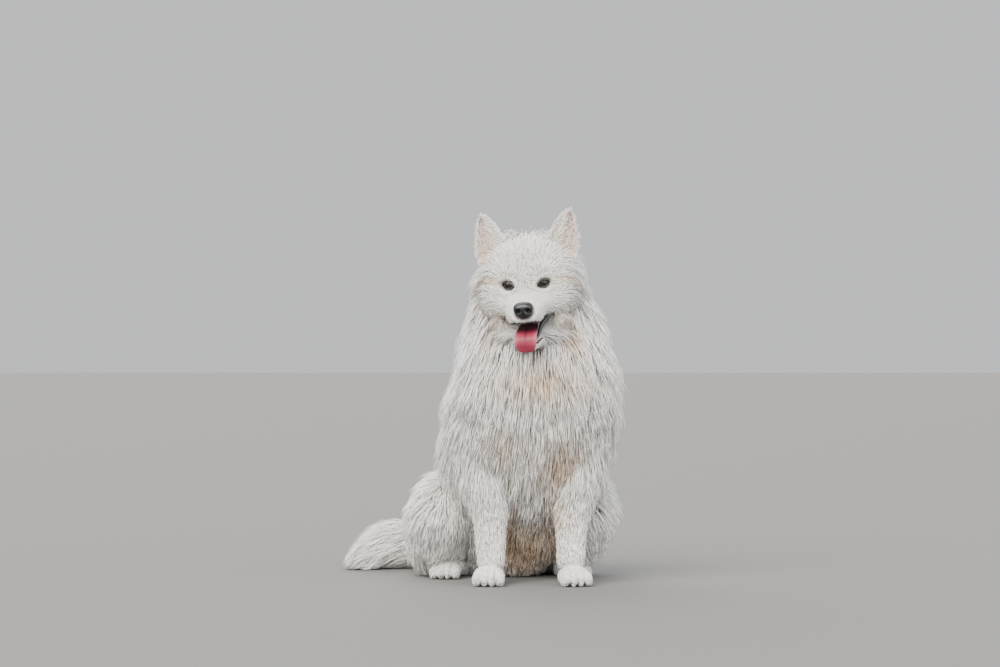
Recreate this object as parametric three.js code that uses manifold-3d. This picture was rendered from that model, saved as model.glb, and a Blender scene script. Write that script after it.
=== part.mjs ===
// A Samoyed dog sitting on the floor, life size, as a still model. Millimetres, +Z up.
// The dog faces -Y and its left side is towards +X. Its rump is swung towards its right.
import * as THREE from "three";
import { mergeVertices } from "three/addons/utils/BufferGeometryUtils.js";
import Module from "manifold-3d";

const wasm = await Module();
wasm.setup();

// Driving dimensions. The body is laid out from the floor point midway between the forepaws.
const EYE_HEIGHT = 617; // of the line through the eyes, above the floor
const FOREPAW_SPREAD = 168; // between the middles of the forepaws
const HAUNCH_SPREAD = 288; // between the middles of the thighs
const HIP_OFFSET = -41; // of the middle of the hips from the middle of the forepaws
const HIP_DEPTH = 195; // of the thighs' thickest place behind the forepaws
const GAP = 0.3; // kept between neighbouring pieces
const CUT_REACH = 1200; // side of the blocks that cut the body

// How the head is held, in degrees: nose down, face turned to its right, left ear raised.
const HEAD_PITCH = 10;
const HEAD_TURN = 7;
const HEAD_ROLL = 4;

// Sizes on the head, in its own frame: origin midway between the eyes, nose towards -Y.
const EYE = { radius: 12.5, x: 35, y: -3, z: 0, facing: 17, slant: 13, width: 22, upper: 7.2, lower: 5.8 };
const LID_DEPTH = 7; // from the middle of an eye to the bottom of the cut between its lids
const LID_THICK = 1.8;
const NOSTRIL = { x: 9.5, y: -106, z: -40, slant: 30 };
const JAW_HINGE = { y: 40, z: -55 };
const JAW_OPEN = 16; // degrees
const MOUTH_HALF_WIDTH = 64;
const EAR = { x: 70, y: 62, z: 54, height: 86, halfWidth: 38, thick: 7, bulge: 18, facing: 8, back: 6 };
const EAR_LEAN = { [-1]: 12, [1]: 17 }; // degrees outwards, of the right and the left ear
const EAR_ROOT = 22; // length of each ear that is sunk in the head

// The long coat: a solid core, and locks that lie over one another from it out to the tips.
const CORE_DEPTH = 0.5; // of the core within the coat: 0 is the skin, 1 the tips
const LOCK_SINK = 12; // of each lock's root below the core's surface
const LOCK_DEPTHS = [0, 0.4, 0.8, 1]; // how far from the core to the tips a lock's underside lies
const LOCK_WIDTHS = [0.85, 1, 0.66]; // along a lock, as shares of its own
const LOCK_RIDGE = [0.7, 1, 0.5]; // height of a lock's ridge along it, as shares of its thickness
const LOCK_SEED = 42;

// Locks in rows over each form: [share along it, first angle, last angle, how many]. Angles run
// from the form's side over its front; on the thighs they run from the outer side over the top.
const BODY_LOCKS = {
  size: { length: 136, width: 86, thick: 20 },
  rows: [
    [0.05, -180, 180, 9],
    [0.18, -180, 180, 11],
    [0.31, -180, 180, 12],
    [0.44, -180, 180, 12],
    [0.57, -180, 180, 12],
    [0.69, -195, 15, 8],
    [0.8, -175, -5, 6],
    [0.69, 50, 130, 2],
  ],
};
const THIGH_LOCKS = {
  size: { length: 112, width: 92, thick: 14 },
  rows: [
    [0.15, 80, -50, 3],
    [0.5, 80, -50, 3],
    [0.82, 60, -40, 2],
  ],
};
const TAIL_LOCKS = {
  size: { length: 112, width: 70, thick: 15 },
  rows: [
    [0.18, -10, 190, 3],
    [0.44, -15, 195, 4],
    [0.7, -15, 195, 4],
  ],
};
const CHEEK_LOCKS = {
  size: { length: 72, width: 64, thick: 10 },
  rows: [
    [0.72, -150, -30, 3],
    [0.86, -60, 45, 3],
    [0.86, 135, 240, 3],
  ],
};

const TOES = 4;
const FOREPAW = { width: 37, length: 50, height: 40 };
const FOREPAW_TURN = { [-1]: -3, [1]: 12 }; // degrees, of the right and the left forepaw
const HINDPAW = { width: 36, length: 48, height: 36 };
const HINDPAW_OUT = 136; // of each hind paw from the middle of the hips
const CLAW = { length: 12, radius: 3.2, drop: 38, sides: 3 };

// How the body is parted: two corners of each node's share in its own frame, the neck's lower
// edge, which slopes down to the chest, and how far a limb's share reaches beyond its outline.
const HEAD_SHARE = [[-150, -160, -98], [150, 80, 170]];
const NECK_SHARE = [[-400, -400, 0], [400, 400, 400]];
const NECK_SLOPE = 28; // degrees
const FOREPAW_SHARE = [[-60, -90, -9], [60, 70, 42]];
const HINDPAW_SHARE = [[-48, -90, -9], [48, 4, 44]];
const LEG_MARGIN = 5;
const COAT_MARGIN = 20; // where locks stand on the limb

const radians = THREE.MathUtils.degToRad;
const V = (x, y, z) => new THREE.Vector3(x, y, z);
const NECK_BASE = V(0, 80, 470);
const AHEAD = V(0, -1, 0);
const UP = V(0, 0, 1);

const coat = (color) => new THREE.MeshStandardMaterial({ color, roughness: 0.85, metalness: 0 });
const wet = (color) => new THREE.MeshStandardMaterial({ color, roughness: 0.3, metalness: 0 });
const WHITE_COAT = 0xf1eee8;
const EAR_COAT = 0xeedfd4;
const NOSE_LEATHER = 0x161315;
const EYE_BROWN = 0x1d1210;
const TONGUE_PINK = 0xb5566a;

// A solid for joining and cutting, from any closed geometry.
function solidOf(geometry) {
  const bare = new THREE.BufferGeometry().setAttribute("position", geometry.getAttribute("position"));
  if (geometry.index) bare.setIndex(geometry.index);
  const merged = mergeVertices(bare, 1e-4);
  const vertProperties = merged.attributes.position.array;
  const solid = (triVerts) => new wasm.Manifold(new wasm.Mesh({ numProp: 3, vertProperties, triVerts }));
  const made = solid(new Uint32Array(merged.index.array));
  return made.volume() > 0 ? made : solid(new Uint32Array(merged.index.array).reverse());
}

// A solid's geometry, measured from the point where its mesh is placed.
function geometryOf(solid, origin) {
  const made = solid.getMesh();
  const geometry = new THREE.BufferGeometry();
  geometry.setAttribute("position", new THREE.BufferAttribute(made.vertProperties, made.numProp));
  geometry.setIndex(new THREE.BufferAttribute(made.triVerts, 1));
  geometry.translate(-origin.x, -origin.y, -origin.z);
  geometry.computeVertexNormals();
  return geometry;
}

// The largest closed body of a solid, without loose scraps or sealed hollows.
function largest(solid) {
  return solid.decompose().sort((a, b) => b.volume() - a.volume())[0];
}

const union = (...solids) => wasm.Manifold.union(solids.flat());
const placed = (solid, matrix) => solid.transform(matrix.elements);

// A frame from its place and its turns about X, then Y, then Z, in degrees.
function frameAt(place, pitch = 0, roll = 0, turn = 0) {
  const euler = new THREE.Euler(radians(pitch), radians(roll), radians(turn), "ZYX");
  return new THREE.Matrix4().compose(place, new THREE.Quaternion().setFromEuler(euler), V(1, 1, 1));
}

// A closed tube through rings of equally many points, with a pole at each end.
function tube(rings, firstPole, lastPole) {
  const sides = rings[0].length;
  const points = [firstPole, ...rings.flat(), lastPole];
  const last = points.length - 1;
  const top = 1 + (rings.length - 1) * sides;
  const index = [];
  for (let s = 0; s < sides; s++) {
    const next = (s + 1) % sides;
    index.push(0, 1 + next, 1 + s);
    for (let r = 0; r < rings.length - 1; r++) {
      const low = 1 + r * sides;
      const high = low + sides;
      index.push(low + s, low + next, high + next, low + s, high + next, high + s);
    }
    index.push(last, top + s, top + next);
  }
  const geometry = new THREE.BufferGeometry().setFromPoints(points);
  geometry.setIndex(index);
  return solidOf(geometry);
}

// An ellipsoid placed by a frame.
function ellipsoid(frame, radii, detail = 10) {
  const geometry = new THREE.SphereGeometry(1, detail, Math.round(detail * 0.6));
  geometry.scale(...radii);
  return placed(solidOf(geometry), frame);
}

// A block between two corners, placed by a frame.
function block(low, high, frame = new THREE.Matrix4()) {
  const size = V().subVectors(high, low);
  const geometry = new THREE.BoxGeometry(size.x, size.y, size.z);
  geometry.translate(...V().addVectors(low, high).multiplyScalar(0.5));
  return placed(solidOf(geometry), frame);
}

// A rounded form of the body: ovals along a smooth axis, closed by a dome at each end.
// Each station is [x, y, z, side, front, back, coat]: the oval's middle, its reach to the side,
// towards `facing` and away from it, and how deep the coat is within that reach.
class Form {
  constructor(stations, { facing, rings, sides, domes, bumps = [], squareness = 1 }) {
    this.stations = stations;
    this.facing = facing;
    this.rings = rings;
    this.sides = sides;
    this.domes = domes;
    this.bumps = bumps;
    this.squareness = squareness;
    this.axis = new THREE.CatmullRomCurve3(stations.map(([x, y, z]) => V(x, y, z)));
    this.length = this.axis.getLength();
  }

  // A station's number i along the axis at the share u, eased between its neighbours.
  size(u, i) {
    const last = this.stations.length - 1;
    const at = THREE.MathUtils.clamp(u, 0, 1) * last;
    const k = Math.min(Math.floor(at), last - 1);
    const value = (n) => this.stations[THREE.MathUtils.clamp(n, 0, last)][i];
    const t = at - k;
    const [a, b, c, d] = [value(k - 1), value(k), value(k + 1), value(k + 2)];
    return b + 0.5 * t * (c - a + t * (2 * a - 5 * b + 4 * c - d + t * (3 * (b - c) + d - a)));
  }

  // The axis point at the share u and the oval's side, front and along directions there. Beyond
  // the axis's ends the oval shrinks with the dome, down to a small share of itself.
  frame(u) {
    const inside = THREE.MathUtils.clamp(u, 0, 1);
    const along = this.axis.getTangent(inside);
    const beyond = (u - inside) * this.length;
    const middle = this.axis.getPoint(inside).addScaledVector(along, beyond);
    const side = V().crossVectors(this.facing, along).normalize();
    const front = V().crossVectors(along, side).normalize();
    const dome = this.size(inside, 3) * this.domes[Math.round(inside)];
    const closing = Math.sqrt(Math.max(1 - (beyond / dome) ** 2, 0.05));
    return { middle, side, front, along, closing };
  }

  // A point of the oval at the share u, the angle a and a depth: 1 on the outline, 0 on the skin.
  // `share` scales the oval about its middle, `shift` moves it along and `grow` widens it.
  point(u, a, { depth = 1, share = 1, shift = 0, grow = 0 } = {}) {
    const { middle, side, front, along, closing } = this.frame(u);
    const inward = this.size(u, 6) * (1 - depth) - grow;
    const across = (this.size(u, 3) - inward) * share * closing;
    const towards = (this.size(u, Math.sin(a) > 0 ? 4 : 5) - inward) * share * closing;
    const fuller = (value) => Math.sign(value) * Math.abs(value) ** this.squareness;
    const flat = middle.addScaledVector(side, fuller(Math.cos(a)) * across).addScaledVector(along, shift);
    return this.swell(flat.addScaledVector(front, fuller(Math.sin(a)) * towards));
  }

  // A point pushed by the form's bumps, each [x, y, z, reach, push x, push y, push z].
  swell(point) {
    const moved = point.clone();
    for (const [x, y, z, reach, ...push] of this.bumps) {
      const near = Math.exp(-point.distanceToSquared(V(x, y, z)) / reach ** 2);
      moved.addScaledVector(V(...push), near);
    }
    return moved;
  }

  // Whether a point lies within a share of the outline.
  holds(point, share = 0.94) {
    const samples = Array.from({ length: 25 }, (_, i) => i / 24);
    const near = (u) => this.axis.getPoint(u).distanceToSquared(point);
    const u = samples.reduce((best, next) => (near(next) < near(best) ? next : best));
    const { middle, side, front, along } = this.frame(u);
    const from = V().subVectors(point, middle);
    const [x, y, z] = [from.dot(side), from.dot(front), from.dot(along)];
    const towards = this.size(u, y > 0 ? 4 : 5);
    return Math.hypot(x / this.size(u, 3), y / towards, z / this.size(u, 3)) < share;
  }

  // The closed surface at a depth of the coat, grown outwards by a few tenths where it cuts.
  solid({ depth = 1, grow = 0, rings: bands = this.rings, sides = this.sides } = {}) {
    const ring = (u, share, shift) =>
      Array.from({ length: sides }, (_, s) =>
        this.point(u, (2 * Math.PI * s) / sides, { depth, share, shift, grow }),
      );
    const reach = (u) => this.size(u, 3) - this.size(u, 6) * (1 - depth) + grow;
    const [first, last] = [reach(0) * this.domes[0], reach(1) * this.domes[1]];
    const steps = [Math.PI / 6, Math.PI / 3];
    const rings = [
      ...steps.toReversed().map((t) => ring(0, Math.cos(t), -Math.sin(t) * first)),
      ...Array.from({ length: bands + 1 }, (_, r) => ring(r / bands, 1, 0)),
      ...steps.map((t) => ring(1, Math.cos(t), Math.sin(t) * last)),
    ];
    const pole = (u, shift) => this.point(u, 0, { depth, share: 0, shift });
    return tube(rings, pole(0, -first), pole(1, last));
  }
}

// A steady stream of numbers from 0 to 1, the same at every build.
function seeded(seed) {
  let state = seed;
  return () => {
    state = (state * 1664525 + 1013904223) % 4294967296;
    return state / 4294967296;
  };
}

// How the share u and the angle a change over a form for one step along a direction in space.
function stepOver(form, u, a, heading) {
  const [du, da] = [0.01, 0.05];
  const here = form.point(u, a);
  const along = form.point(u + du, a).sub(here).divideScalar(du);
  const round = form.point(u, a + da).sub(here).divideScalar(da);
  const [uu, ua, aa] = [along.dot(along), along.dot(round), round.dot(round)];
  const [hu, ha] = [along.dot(heading), round.dot(heading)];
  const scale = uu * aa - ua * ua;
  return [(hu * aa - ha * ua) / scale, (ha * uu - hu * ua) / scale];
}

// One flat lock of hair, tapering to its tip. Its root is sunk in the form's core at the share u
// and the angle a; from there it runs over the form along its heading, out to the coat's tips.
function lock(form, u, a, { length, width, thick, heading, rise }) {
  const steps = LOCK_DEPTHS.length - 1;
  const sink = Math.min(LOCK_SINK / Math.max(form.size(u, 6), 1), CORE_DEPTH * 0.8);
  const spine = [];
  let [v, b] = [u, a];
  for (const [i, share] of LOCK_DEPTHS.entries()) {
    const depth = i ? CORE_DEPTH + (rise - CORE_DEPTH) * share : CORE_DEPTH - sink;
    const out = V().subVectors(form.point(v, b), form.point(v, b, { depth: 0 })).normalize();
    spine.push({ at: form.point(v, b, { depth }), out });
    const [dv, db] = stepOver(form, v, b, heading);
    v += (dv * length) / steps;
    b += (db * length) / steps;
  }
  const towards = (i) =>
    V().subVectors(spine[Math.min(i + 1, steps)].at, spine[Math.max(i - 1, 0)].at).normalize();
  const rings = LOCK_WIDTHS.map((share, i) => {
    const { at, out } = spine[i];
    const half = V().crossVectors(out, towards(i)).normalize().multiplyScalar((width / 2) * share);
    const ridge = at.clone().addScaledVector(out, thick * LOCK_RIDGE[i]);
    return [at.clone().add(half), ridge, at.clone().sub(half)];
  });
  const root = spine[0].at.clone().addScaledVector(towards(0), -LOCK_SINK / 2);
  return tube(rings, root, spine[steps].at);
}

// Overlapping locks in rows over a form, each a little different. `lie` gives the way that the
// coat runs at a share u; `skip` tells the points where another form covers this one.
function lockRows(form, { size, rows }, { lie, random, skip = () => false }) {
  const vary = (spread) => spread * (random() - 0.5);
  return rows.flatMap(([u, from, to, count], row) =>
    Array.from({ length: count }, (_, i) => {
      const share = (i + 0.5 * (row % 2) + 0.25 + vary(0.3)) / count;
      const a = radians(from + (to - from) * share);
      const v = u + vary(0.02);
      const heading = lie(v).clone().add(V(vary(0.3), vary(0.3), vary(0.3))).normalize();
      const scale = 1 + vary(0.3);
      const made = {
        length: size.length * scale,
        width: size.width * scale,
        thick: size.thick,
        rise: 1 + vary(0.12),
        heading,
      };
      return skip(form.point(v, a)) ? [] : [lock(form, v, a, made)];
    }).flat(),
  );
}

// Both members of a pair of bumps, the given one and its mirror across the middle of the face.
const pair = ([x, y, z, reach, px, py, pz]) => [
  [x, y, z, reach, px, py, pz],
  [-x, y, z, reach, -px, py, pz],
];

// The trunk and neck in one, from behind the face down the back to the rump on the floor.
const body = new Form(
  [
    [-6, 104, 700, 88, 50, 70, 34],
    [-5, 99, 672, 116, 60, 92, 40],
    [-1, 94, 636, 134, 72, 114, 48],
    [2, 88, 590, 152, 84, 134, 56],
    [6, 84, 540, 168, 96, 140, 60],
    [8, 82, 482, 179, 124, 144, 60],
    [9, 87, 418, 191, 147, 154, 56],
    [1, 104, 346, 194, 157, 164, 50],
    [-12, 134, 270, 192, 149, 162, 46],
    [-28, 174, 196, 176, 130, 152, 42],
    [-42, 216, 126, 150, 118, 134, 38],
    [-52, 250, 66, 118, 108, 106, 32],
  ],
  { facing: AHEAD, rings: 11, sides: 14, domes: [0.3, 0.5] },
);

// Where the fur of each thigh swells or is drawn in, measured outwards from the thigh's middle:
// the right one is pressed out along the floor, the left one is tucked in under the flank.
const THIGH_BUMPS = {
  [-1]: [
    [80, 30, 15, 90, 26],
    [80, 30, 200, 70, -12],
  ],
  [1]: [
    [90, 20, 20, 70, -26],
    [60, 30, 235, 60, 16],
  ],
};

// One thigh, from the hip forward to the knee; `way` is -1 on the dog's right and 1 on its left.
function thighForm(way) {
  const x = (reach) => HIP_OFFSET + way * (HAUNCH_SPREAD / 2 + reach);
  return new Form(
    [
      [x(-78), HIP_DEPTH + 112, 142, 78, 74, 142, 28],
      [x(-30), HIP_DEPTH + 62, 144, 96, 90, 146, 30],
      [x(0), HIP_DEPTH + 6, 140, 84, 86, 142, 30],
      [x(12), HIP_DEPTH - 50, 126, 66, 68, 114, 26],
      [x(14), HIP_DEPTH - 78, 112, 46, 48, 86, 20],
    ],
    {
      facing: UP,
      rings: 5,
      sides: 10,
      domes: [0.5, 0.5],
      bumps: THIGH_BUMPS[way].map(([out, y, z, reach, push]) => {
        return [x(out), HIP_DEPTH + y, z, reach, way * push, 0, 0];
      }),
    },
  );
}

// A hind foot, flat on the floor from the hock to the ball of the toes.
function hindFootForm(way) {
  const x = (reach) => HIP_OFFSET + way * reach;
  return new Form(
    [
      [x(110), HIP_DEPTH + 120, 32, 30, 30, 34, 12],
      [x(122), HIP_DEPTH + 40, 28, 31, 27, 30, 9],
      [x(134), HIP_DEPTH - 26, 23, 34, 22, 25, 6],
    ],
    { facing: UP, rings: 3, sides: 10, domes: [0.7, 0.5] },
  );
}

// A foreleg, from the shoulder straight down to the wrist.
function forelegForm(way) {
  const x = (reach) => way * (FOREPAW_SPREAD / 2 + reach);
  return new Form(
    [
      [x(22), 66, 345, 66, 74, 74, 40],
      [x(20), 62, 265, 60, 62, 72, 36],
      [x(10), 47, 198, 46, 46, 64, 26],
      [x(0), 28, 130, 36, 34, 50, 16],
      [x(-2), 10, 44, 32, 30, 34, 10],
    ],
    { facing: AHEAD, rings: 6, sides: 10, domes: [0.5, 0.4] },
  );
}

// The tail, laid on the floor to the dog's right with its plume spread.
const tail = new Form(
  [
    [-46, 316, 98, 52, 56, 60, 26],
    [-112, 376, 76, 62, 54, 78, 34],
    [-196, 404, 68, 68, 54, 70, 38],
    [-286, 396, 60, 68, 60, 62, 38],
    [-346, 380, 38, 52, 42, 40, 26],
    [-382, 370, 18, 25, 20, 20, 15],
  ],
  { facing: UP, rings: 6, sides: 10, domes: [0.5, 0.7] },
);

const headFrame = frameAt(V(-10, -4, EYE_HEIGHT), HEAD_PITCH, -HEAD_ROLL, -HEAD_TURN);
const onHead = (solid) => placed(solid, headFrame);

// The upper head, from the tip of the muzzle over the forehead to the nape.
const skull = new Form(
  [
    [0, -92, -48, 27, 17, 19, 3],
    [0, -80, -48, 35, 23, 25, 4],
    [0, -62, -46, 41, 28, 29, 5],
    [0, -40, -42, 49, 31, 33, 6],
    [0, -14, -34, 68, 38, 42, 9],
    [0, 12, -20, 88, 66, 60, 14],
    [0, 44, -4, 104, 91, 80, 22],
    [0, 80, 4, 104, 96, 82, 26],
    [0, 116, 2, 88, 72, 76, 28],
  ],
  {
    facing: UP,
    rings: 14,
    sides: 18,
    domes: [0.45, 0.6],
    squareness: 0.88,
    bumps: [
      ...pair([38, -8, 22, 18, 2, -7, 4]),
      ...pair([56, -4, 0, 14, -3, 4, 0]),
      ...pair([26, -74, -66, 18, 5, -3, -4]),
      ...pair([80, 12, -50, 38, 14, -12, -8]),
      ...pair([30, -26, -18, 16, -5, 2, -3]),
      [0, -18, 6, 22, 0, 5, -3],
    ],
  },
);

// The lower jaw in the head's frame, with the mouth shut.
const jaw = new Form(
  [
    [0, -78, -84, 24, 9, 11, 3],
    [0, -60, -87, 33, 12, 15, 4],
    [0, -36, -88, 41, 16, 22, 7],
    [0, -6, -86, 54, 22, 32, 14],
    [0, 30, -78, 64, 28, 42, 22],
  ],
  { facing: UP, rings: 5, sides: 14, domes: [0.6, 0.5] },
);

// The tongue, out over the lower lip and hanging, and the groove along its middle.
const TONGUE_PATH = [
  [0, -16, -84, 19, 5, 6, 0],
  [0, -50, -88, 21, 5, 5, 0],
  [0, -82, -91, 22, 4.5, 4.5, 0],
  [0, -98, -97, 22.5, 4, 4.5, 0],
  [-0.5, -103, -108, 22, 3.5, 4, 0],
  [-1, -102, -118, 18.5, 3, 3.5, 0],
];
const TONGUE_FACING = V(0, -1, 1).normalize();
const tongue = new Form(TONGUE_PATH, { facing: TONGUE_FACING, rings: 6, sides: 10, domes: [0.4, 0.45] });
const tongueGroove = new Form(
  TONGUE_PATH.slice(1).map(([x, y, z, , front]) => [x, y - front * 0.75, z + front * 0.75, 1.8, 2, 2, 0]),
  { facing: TONGUE_FACING, rings: 5, sides: 3, domes: [0.4, 0.4] },
);

// The nose pad, standing a little proud of the muzzle.
const nosePad = new Form(
  [
    [0, -80, -41, 17, 15, 15, 0],
    [0, -93, -41, 20, 17.5, 17, 0],
    [0, -102, -42, 17.5, 15, 15, 0],
  ],
  { facing: UP, rings: 3, sides: 12, domes: [0.3, 0.3] },
);

// The two nostrils and the cleft below them, as solids to be cut out.
function noseHollows() {
  const { x, y, z, slant } = NOSTRIL;
  const hole = (way) => ellipsoid(frameAt(V(way * x, y, z), 0, way * slant), [4.4, 9, 3], 7);
  const slitPlace = (way) => frameAt(V(way * (x + 5.5), y + 2, z - 4.5), 0, way * slant);
  const slit = (way) => ellipsoid(slitPlace(way), [5, 8, 1.6], 6);
  const cleft = ellipsoid(frameAt(V(0, y, z - 13)), [0.9, 5, 9], 6);
  return union([-1, 1].flatMap((way) => [hole(way), slit(way)]), cleft);
}

// One ear: a rounded triangle bent into a cup that opens forwards, its root sunk in the head.
function ear(way, grow = 0) {
  const steps = 7;
  const arc = Array.from({ length: steps }, (_, s) => (Math.PI * s) / (steps - 1));
  const ring = (z) => {
    const t = Math.max(z / EAR.height, 0);
    const narrowing = Math.sqrt(1 - t ** 2) * (1 - 0.3 * t);
    const width = EAR.halfWidth * narrowing + grow;
    const bulge = EAR.bulge * narrowing ** 0.8 + grow;
    const thick = EAR.thick * (1 - 0.4 * t) + 2 * grow;
    const hollow = z < 0 ? 0 : bulge - thick;
    const back = arc.map((a) => V(Math.cos(a) * width, Math.sin(a) * bulge, z));
    const cup = arc.map((a) => V(-Math.cos(a) * (width - 1), Math.sin(a) * hollow - thick / 2 - grow, z));
    return [...back, ...cup];
  };
  const heights = [0, 0.25, 0.48, 0.68, 0.83, 0.93, 0.985].map((share) => share * EAR.height);
  const rings = [-EAR_ROOT, ...heights].map(ring);
  const solid = tube(rings, V(0, 4, -EAR_ROOT - 2 - grow), V(0, 0, EAR.height + grow));
  const place = V(way * EAR.x, EAR.y, EAR.z);
  return onHead(placed(solid, frameAt(place, -EAR.back, way * EAR_LEAN[way], way * EAR.facing)));
}

const eyeFrame = (way) => frameAt(V(way * EYE.x, EYE.y, EYE.z), 0, -way * EYE.slant, way * EYE.facing);

// A prism cut from an outline in the local X and Z, running from one Y to another.
function prism(outline, from, to, frame) {
  const shape = new THREE.Shape(outline.map(([x, z]) => new THREE.Vector2(x, z)));
  const geometry = new THREE.ExtrudeGeometry(shape, { depth: to - from, bevelEnabled: false });
  geometry.rotateX(Math.PI / 2).translate(0, to, 0);
  return placed(solidOf(geometry), frame);
}

// The almond between the lids of one eye.
function eyeOpening(way) {
  const steps = 12;
  const outline = Array.from({ length: steps }, (_, s) => {
    const a = (2 * Math.PI * s) / steps;
    const height = Math.sin(a) > 0 ? EYE.upper : EYE.lower;
    return [(Math.cos(a) * EYE.width) / 2, Math.sin(a) * Math.abs(Math.sin(a)) ** 0.3 * height];
  });
  return prism(outline, -EYE.radius - 12, -LID_DEPTH, eyeFrame(way));
}

// A block whose outline lies in the head's Y and Z, as wide as the mouth.
function mouthBlock(outline) {
  const turned = outline.map(([y, z]) => [-y, z]);
  const sideways = frameAt(V(), 0, 0, -90);
  return onHead(prism(turned, -MOUTH_HALF_WIDTH, MOUTH_HALF_WIDTH, sideways));
}

// The open mouth between the upper lip, rising to its corners, and the lower lip.
const MOUTH_OUTLINE = [
  [-130, -66],
  [-96, -68],
  [-80, -73],
  [-58, -72],
  [-34, -65],
  [-8, -53],
  [-34, -74],
  [-60, -90],
  [-84, -100],
  [-130, -102],
];

// One paw with its toes and claws, flat on the floor; its middle is the frame's origin.
function paw(frame, { width, length, height }) {
  const toe = (t) => {
    const across = (t - (TOES - 1) / 2) / (TOES / 2);
    const ahead = -length * (0.62 - 0.22 * across ** 2);
    const at = V(across * width * 0.8, ahead, height * 0.36);
    return { at, spread: across * 8 };
  };
  const toes = Array.from({ length: TOES }, (_, t) => toe(t));
  const middle = V(0, -length * 0.12, height * 0.46);
  const ball = ellipsoid(frameAt(middle), [width * 0.9, length * 0.72, height * 0.6], 8);
  const pads = toes.map(({ at, spread }) =>
    ellipsoid(frameAt(at, 0, 0, spread), [width * 0.29, length * 0.44, height * 0.42], 6),
  );
  const claws = toes.map(({ at, spread }) => {
    const from = V(at.x + Math.sin(radians(spread)) * length * 0.36, at.y - length * 0.36, at.z + 2);
    return placed(claw(), frameAt(from, CLAW.drop, 0, spread));
  });
  return placed(union(ball, pads, claws), frame);
}

// One claw, tapering forwards from its root.
function claw() {
  const ring = (y, radius) =>
    Array.from({ length: CLAW.sides }, (_, s) => {
      const a = Math.PI / 2 + (2 * Math.PI * s) / CLAW.sides;
      return V(Math.cos(a) * radius * 0.8, y, Math.sin(a) * radius);
    });
  const rings = [ring(6, CLAW.radius * 1.1), ring(-CLAW.length * 0.4, CLAW.radius * 0.8)];
  return tube(rings, V(0, 7, 0), V(0, -CLAW.length, -1));
}

// Where the paws stand: the left forepaw is toed out, the hind ones come out past the thighs.
const forepawFrame = (way) => frameAt(V(way * (FOREPAW_SPREAD / 2 + 2), -2, 0), 0, 0, FOREPAW_TURN[way]);
const hindpawFrame = (way) => frameAt(V(HIP_OFFSET + way * HINDPAW_OUT, HIP_DEPTH - 34, 0), 0, 0, way * 6);

// The turn of the lower jaw about its hinge.
function jawTurn() {
  const hinge = new THREE.Matrix4().makeTranslation(0, JAW_HINGE.y, JAW_HINGE.z);
  const turn = new THREE.Matrix4().makeRotationX(radians(JAW_OPEN));
  return hinge.clone().multiply(turn).multiply(hinge.invert());
}

const WAYS = [-1, 1];
const SIDE = { [-1]: "right", 1: "left" };
const eyeball = (way, grow = 0) => onHead(ellipsoid(eyeFrame(way), Array(3).fill(EYE.radius + grow), 10));
const lids = (way) => ellipsoid(eyeFrame(way), [16, EYE.radius + LID_THICK, EYE.radius + LID_THICK], 10);

// Hollows for the mouth, the eyes, the nose, the tongue and the ears.
const mouth = mouthBlock(MOUTH_OUTLINE);
const hollows = union(
  mouth,
  onHead(union(nosePad.solid({ grow: GAP }), WAYS.map(eyeOpening))),
  WAYS.flatMap((way) => [ear(way, GAP), eyeball(way, GAP)]),
);
const tongueRoom = onHead(tongue.solid({ grow: GAP }));
const jawSolid = (grow) => onHead(placed(jaw.solid({ grow }), jawTurn()));

// Everything that grows together, before it is parted.
const above = block(V(-CUT_REACH, -CUT_REACH, 0), V(CUT_REACH, CUT_REACH, CUT_REACH));
const core = { depth: CORE_DEPTH };
const thighs = WAYS.map(thighForm);
const forelegs = WAYS.map(forelegForm);
const random = seeded(LOCK_SEED);
const onSkull = (point) => skull.holds(point.clone().applyMatrix4(headFrame.clone().invert()));
const within = (...forms) => (point) => forms.some((form) => form.holds(point));

// The body's locks fall from the ruff down over the chest, flanks and back to the rump.
const bodyLocks = lockRows(body, BODY_LOCKS, {
  lie: (u) => body.frame(u).along,
  random,
  skip: (point) => onSkull(point) || within(...thighs, ...forelegs)(point),
});

// The locks of each thigh hang down and a little back over its outer side, as trousers do.
const thighLocks = thighs.flatMap((form, i) => {
  const outer = WAYS[i] < 0 ? (a) => 180 - a : (a) => a;
  const rows = THIGH_LOCKS.rows.map(([u, from, to, count]) => [u, outer(from), outer(to), count]);
  const over = { lie: () => V(0, 0.3, -1), random, skip: within(body, tail) };
  return lockRows(form, { ...THIGH_LOCKS, rows }, over);
});

// The plume's locks run along the tail and spread to both of its sides.
const tailLocks = lockRows(tail, TAIL_LOCKS, {
  lie: (u) => tail.frame(u).along,
  random,
  skip: within(...thighs, body),
});

// The fringe of longer hair that frames the face, from ear to ear below the cheeks.
const cheekLocks = lockRows(skull, CHEEK_LOCKS, { lie: () => V(0, 1, -0.35), random });

const whole = union(
  onHead(union(skull.solid(), WAYS.map(lids), cheekLocks)),
  body.solid(core),
  tail.solid(core),
  thighs.map((form) => form.solid(core)),
  forelegs.map((form) => form.solid()),
  bodyLocks,
  thighLocks,
  tailLocks,
  WAYS.flatMap((way) => [
    hindFootForm(way).solid(),
    paw(forepawFrame(way), FOREPAW),
    paw(hindpawFrame(way), HINDPAW),
  ]),
).intersect(above);
let rest = largest(whole.subtract(union(hollows, tongueRoom, jawSolid(GAP))));

const nodes = [];
function addNode(name, solid, finish, origin) {
  nodes.push({ name, solid: largest(solid), finish, origin });
}

// Parts a node off the rest along the surface of a cutter.
function part(name, cutter, origin) {
  addNode(name, rest.intersect(cutter(0)), coat(WHITE_COAT), origin);
  rest = rest.subtract(cutter(GAP));
}

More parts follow.
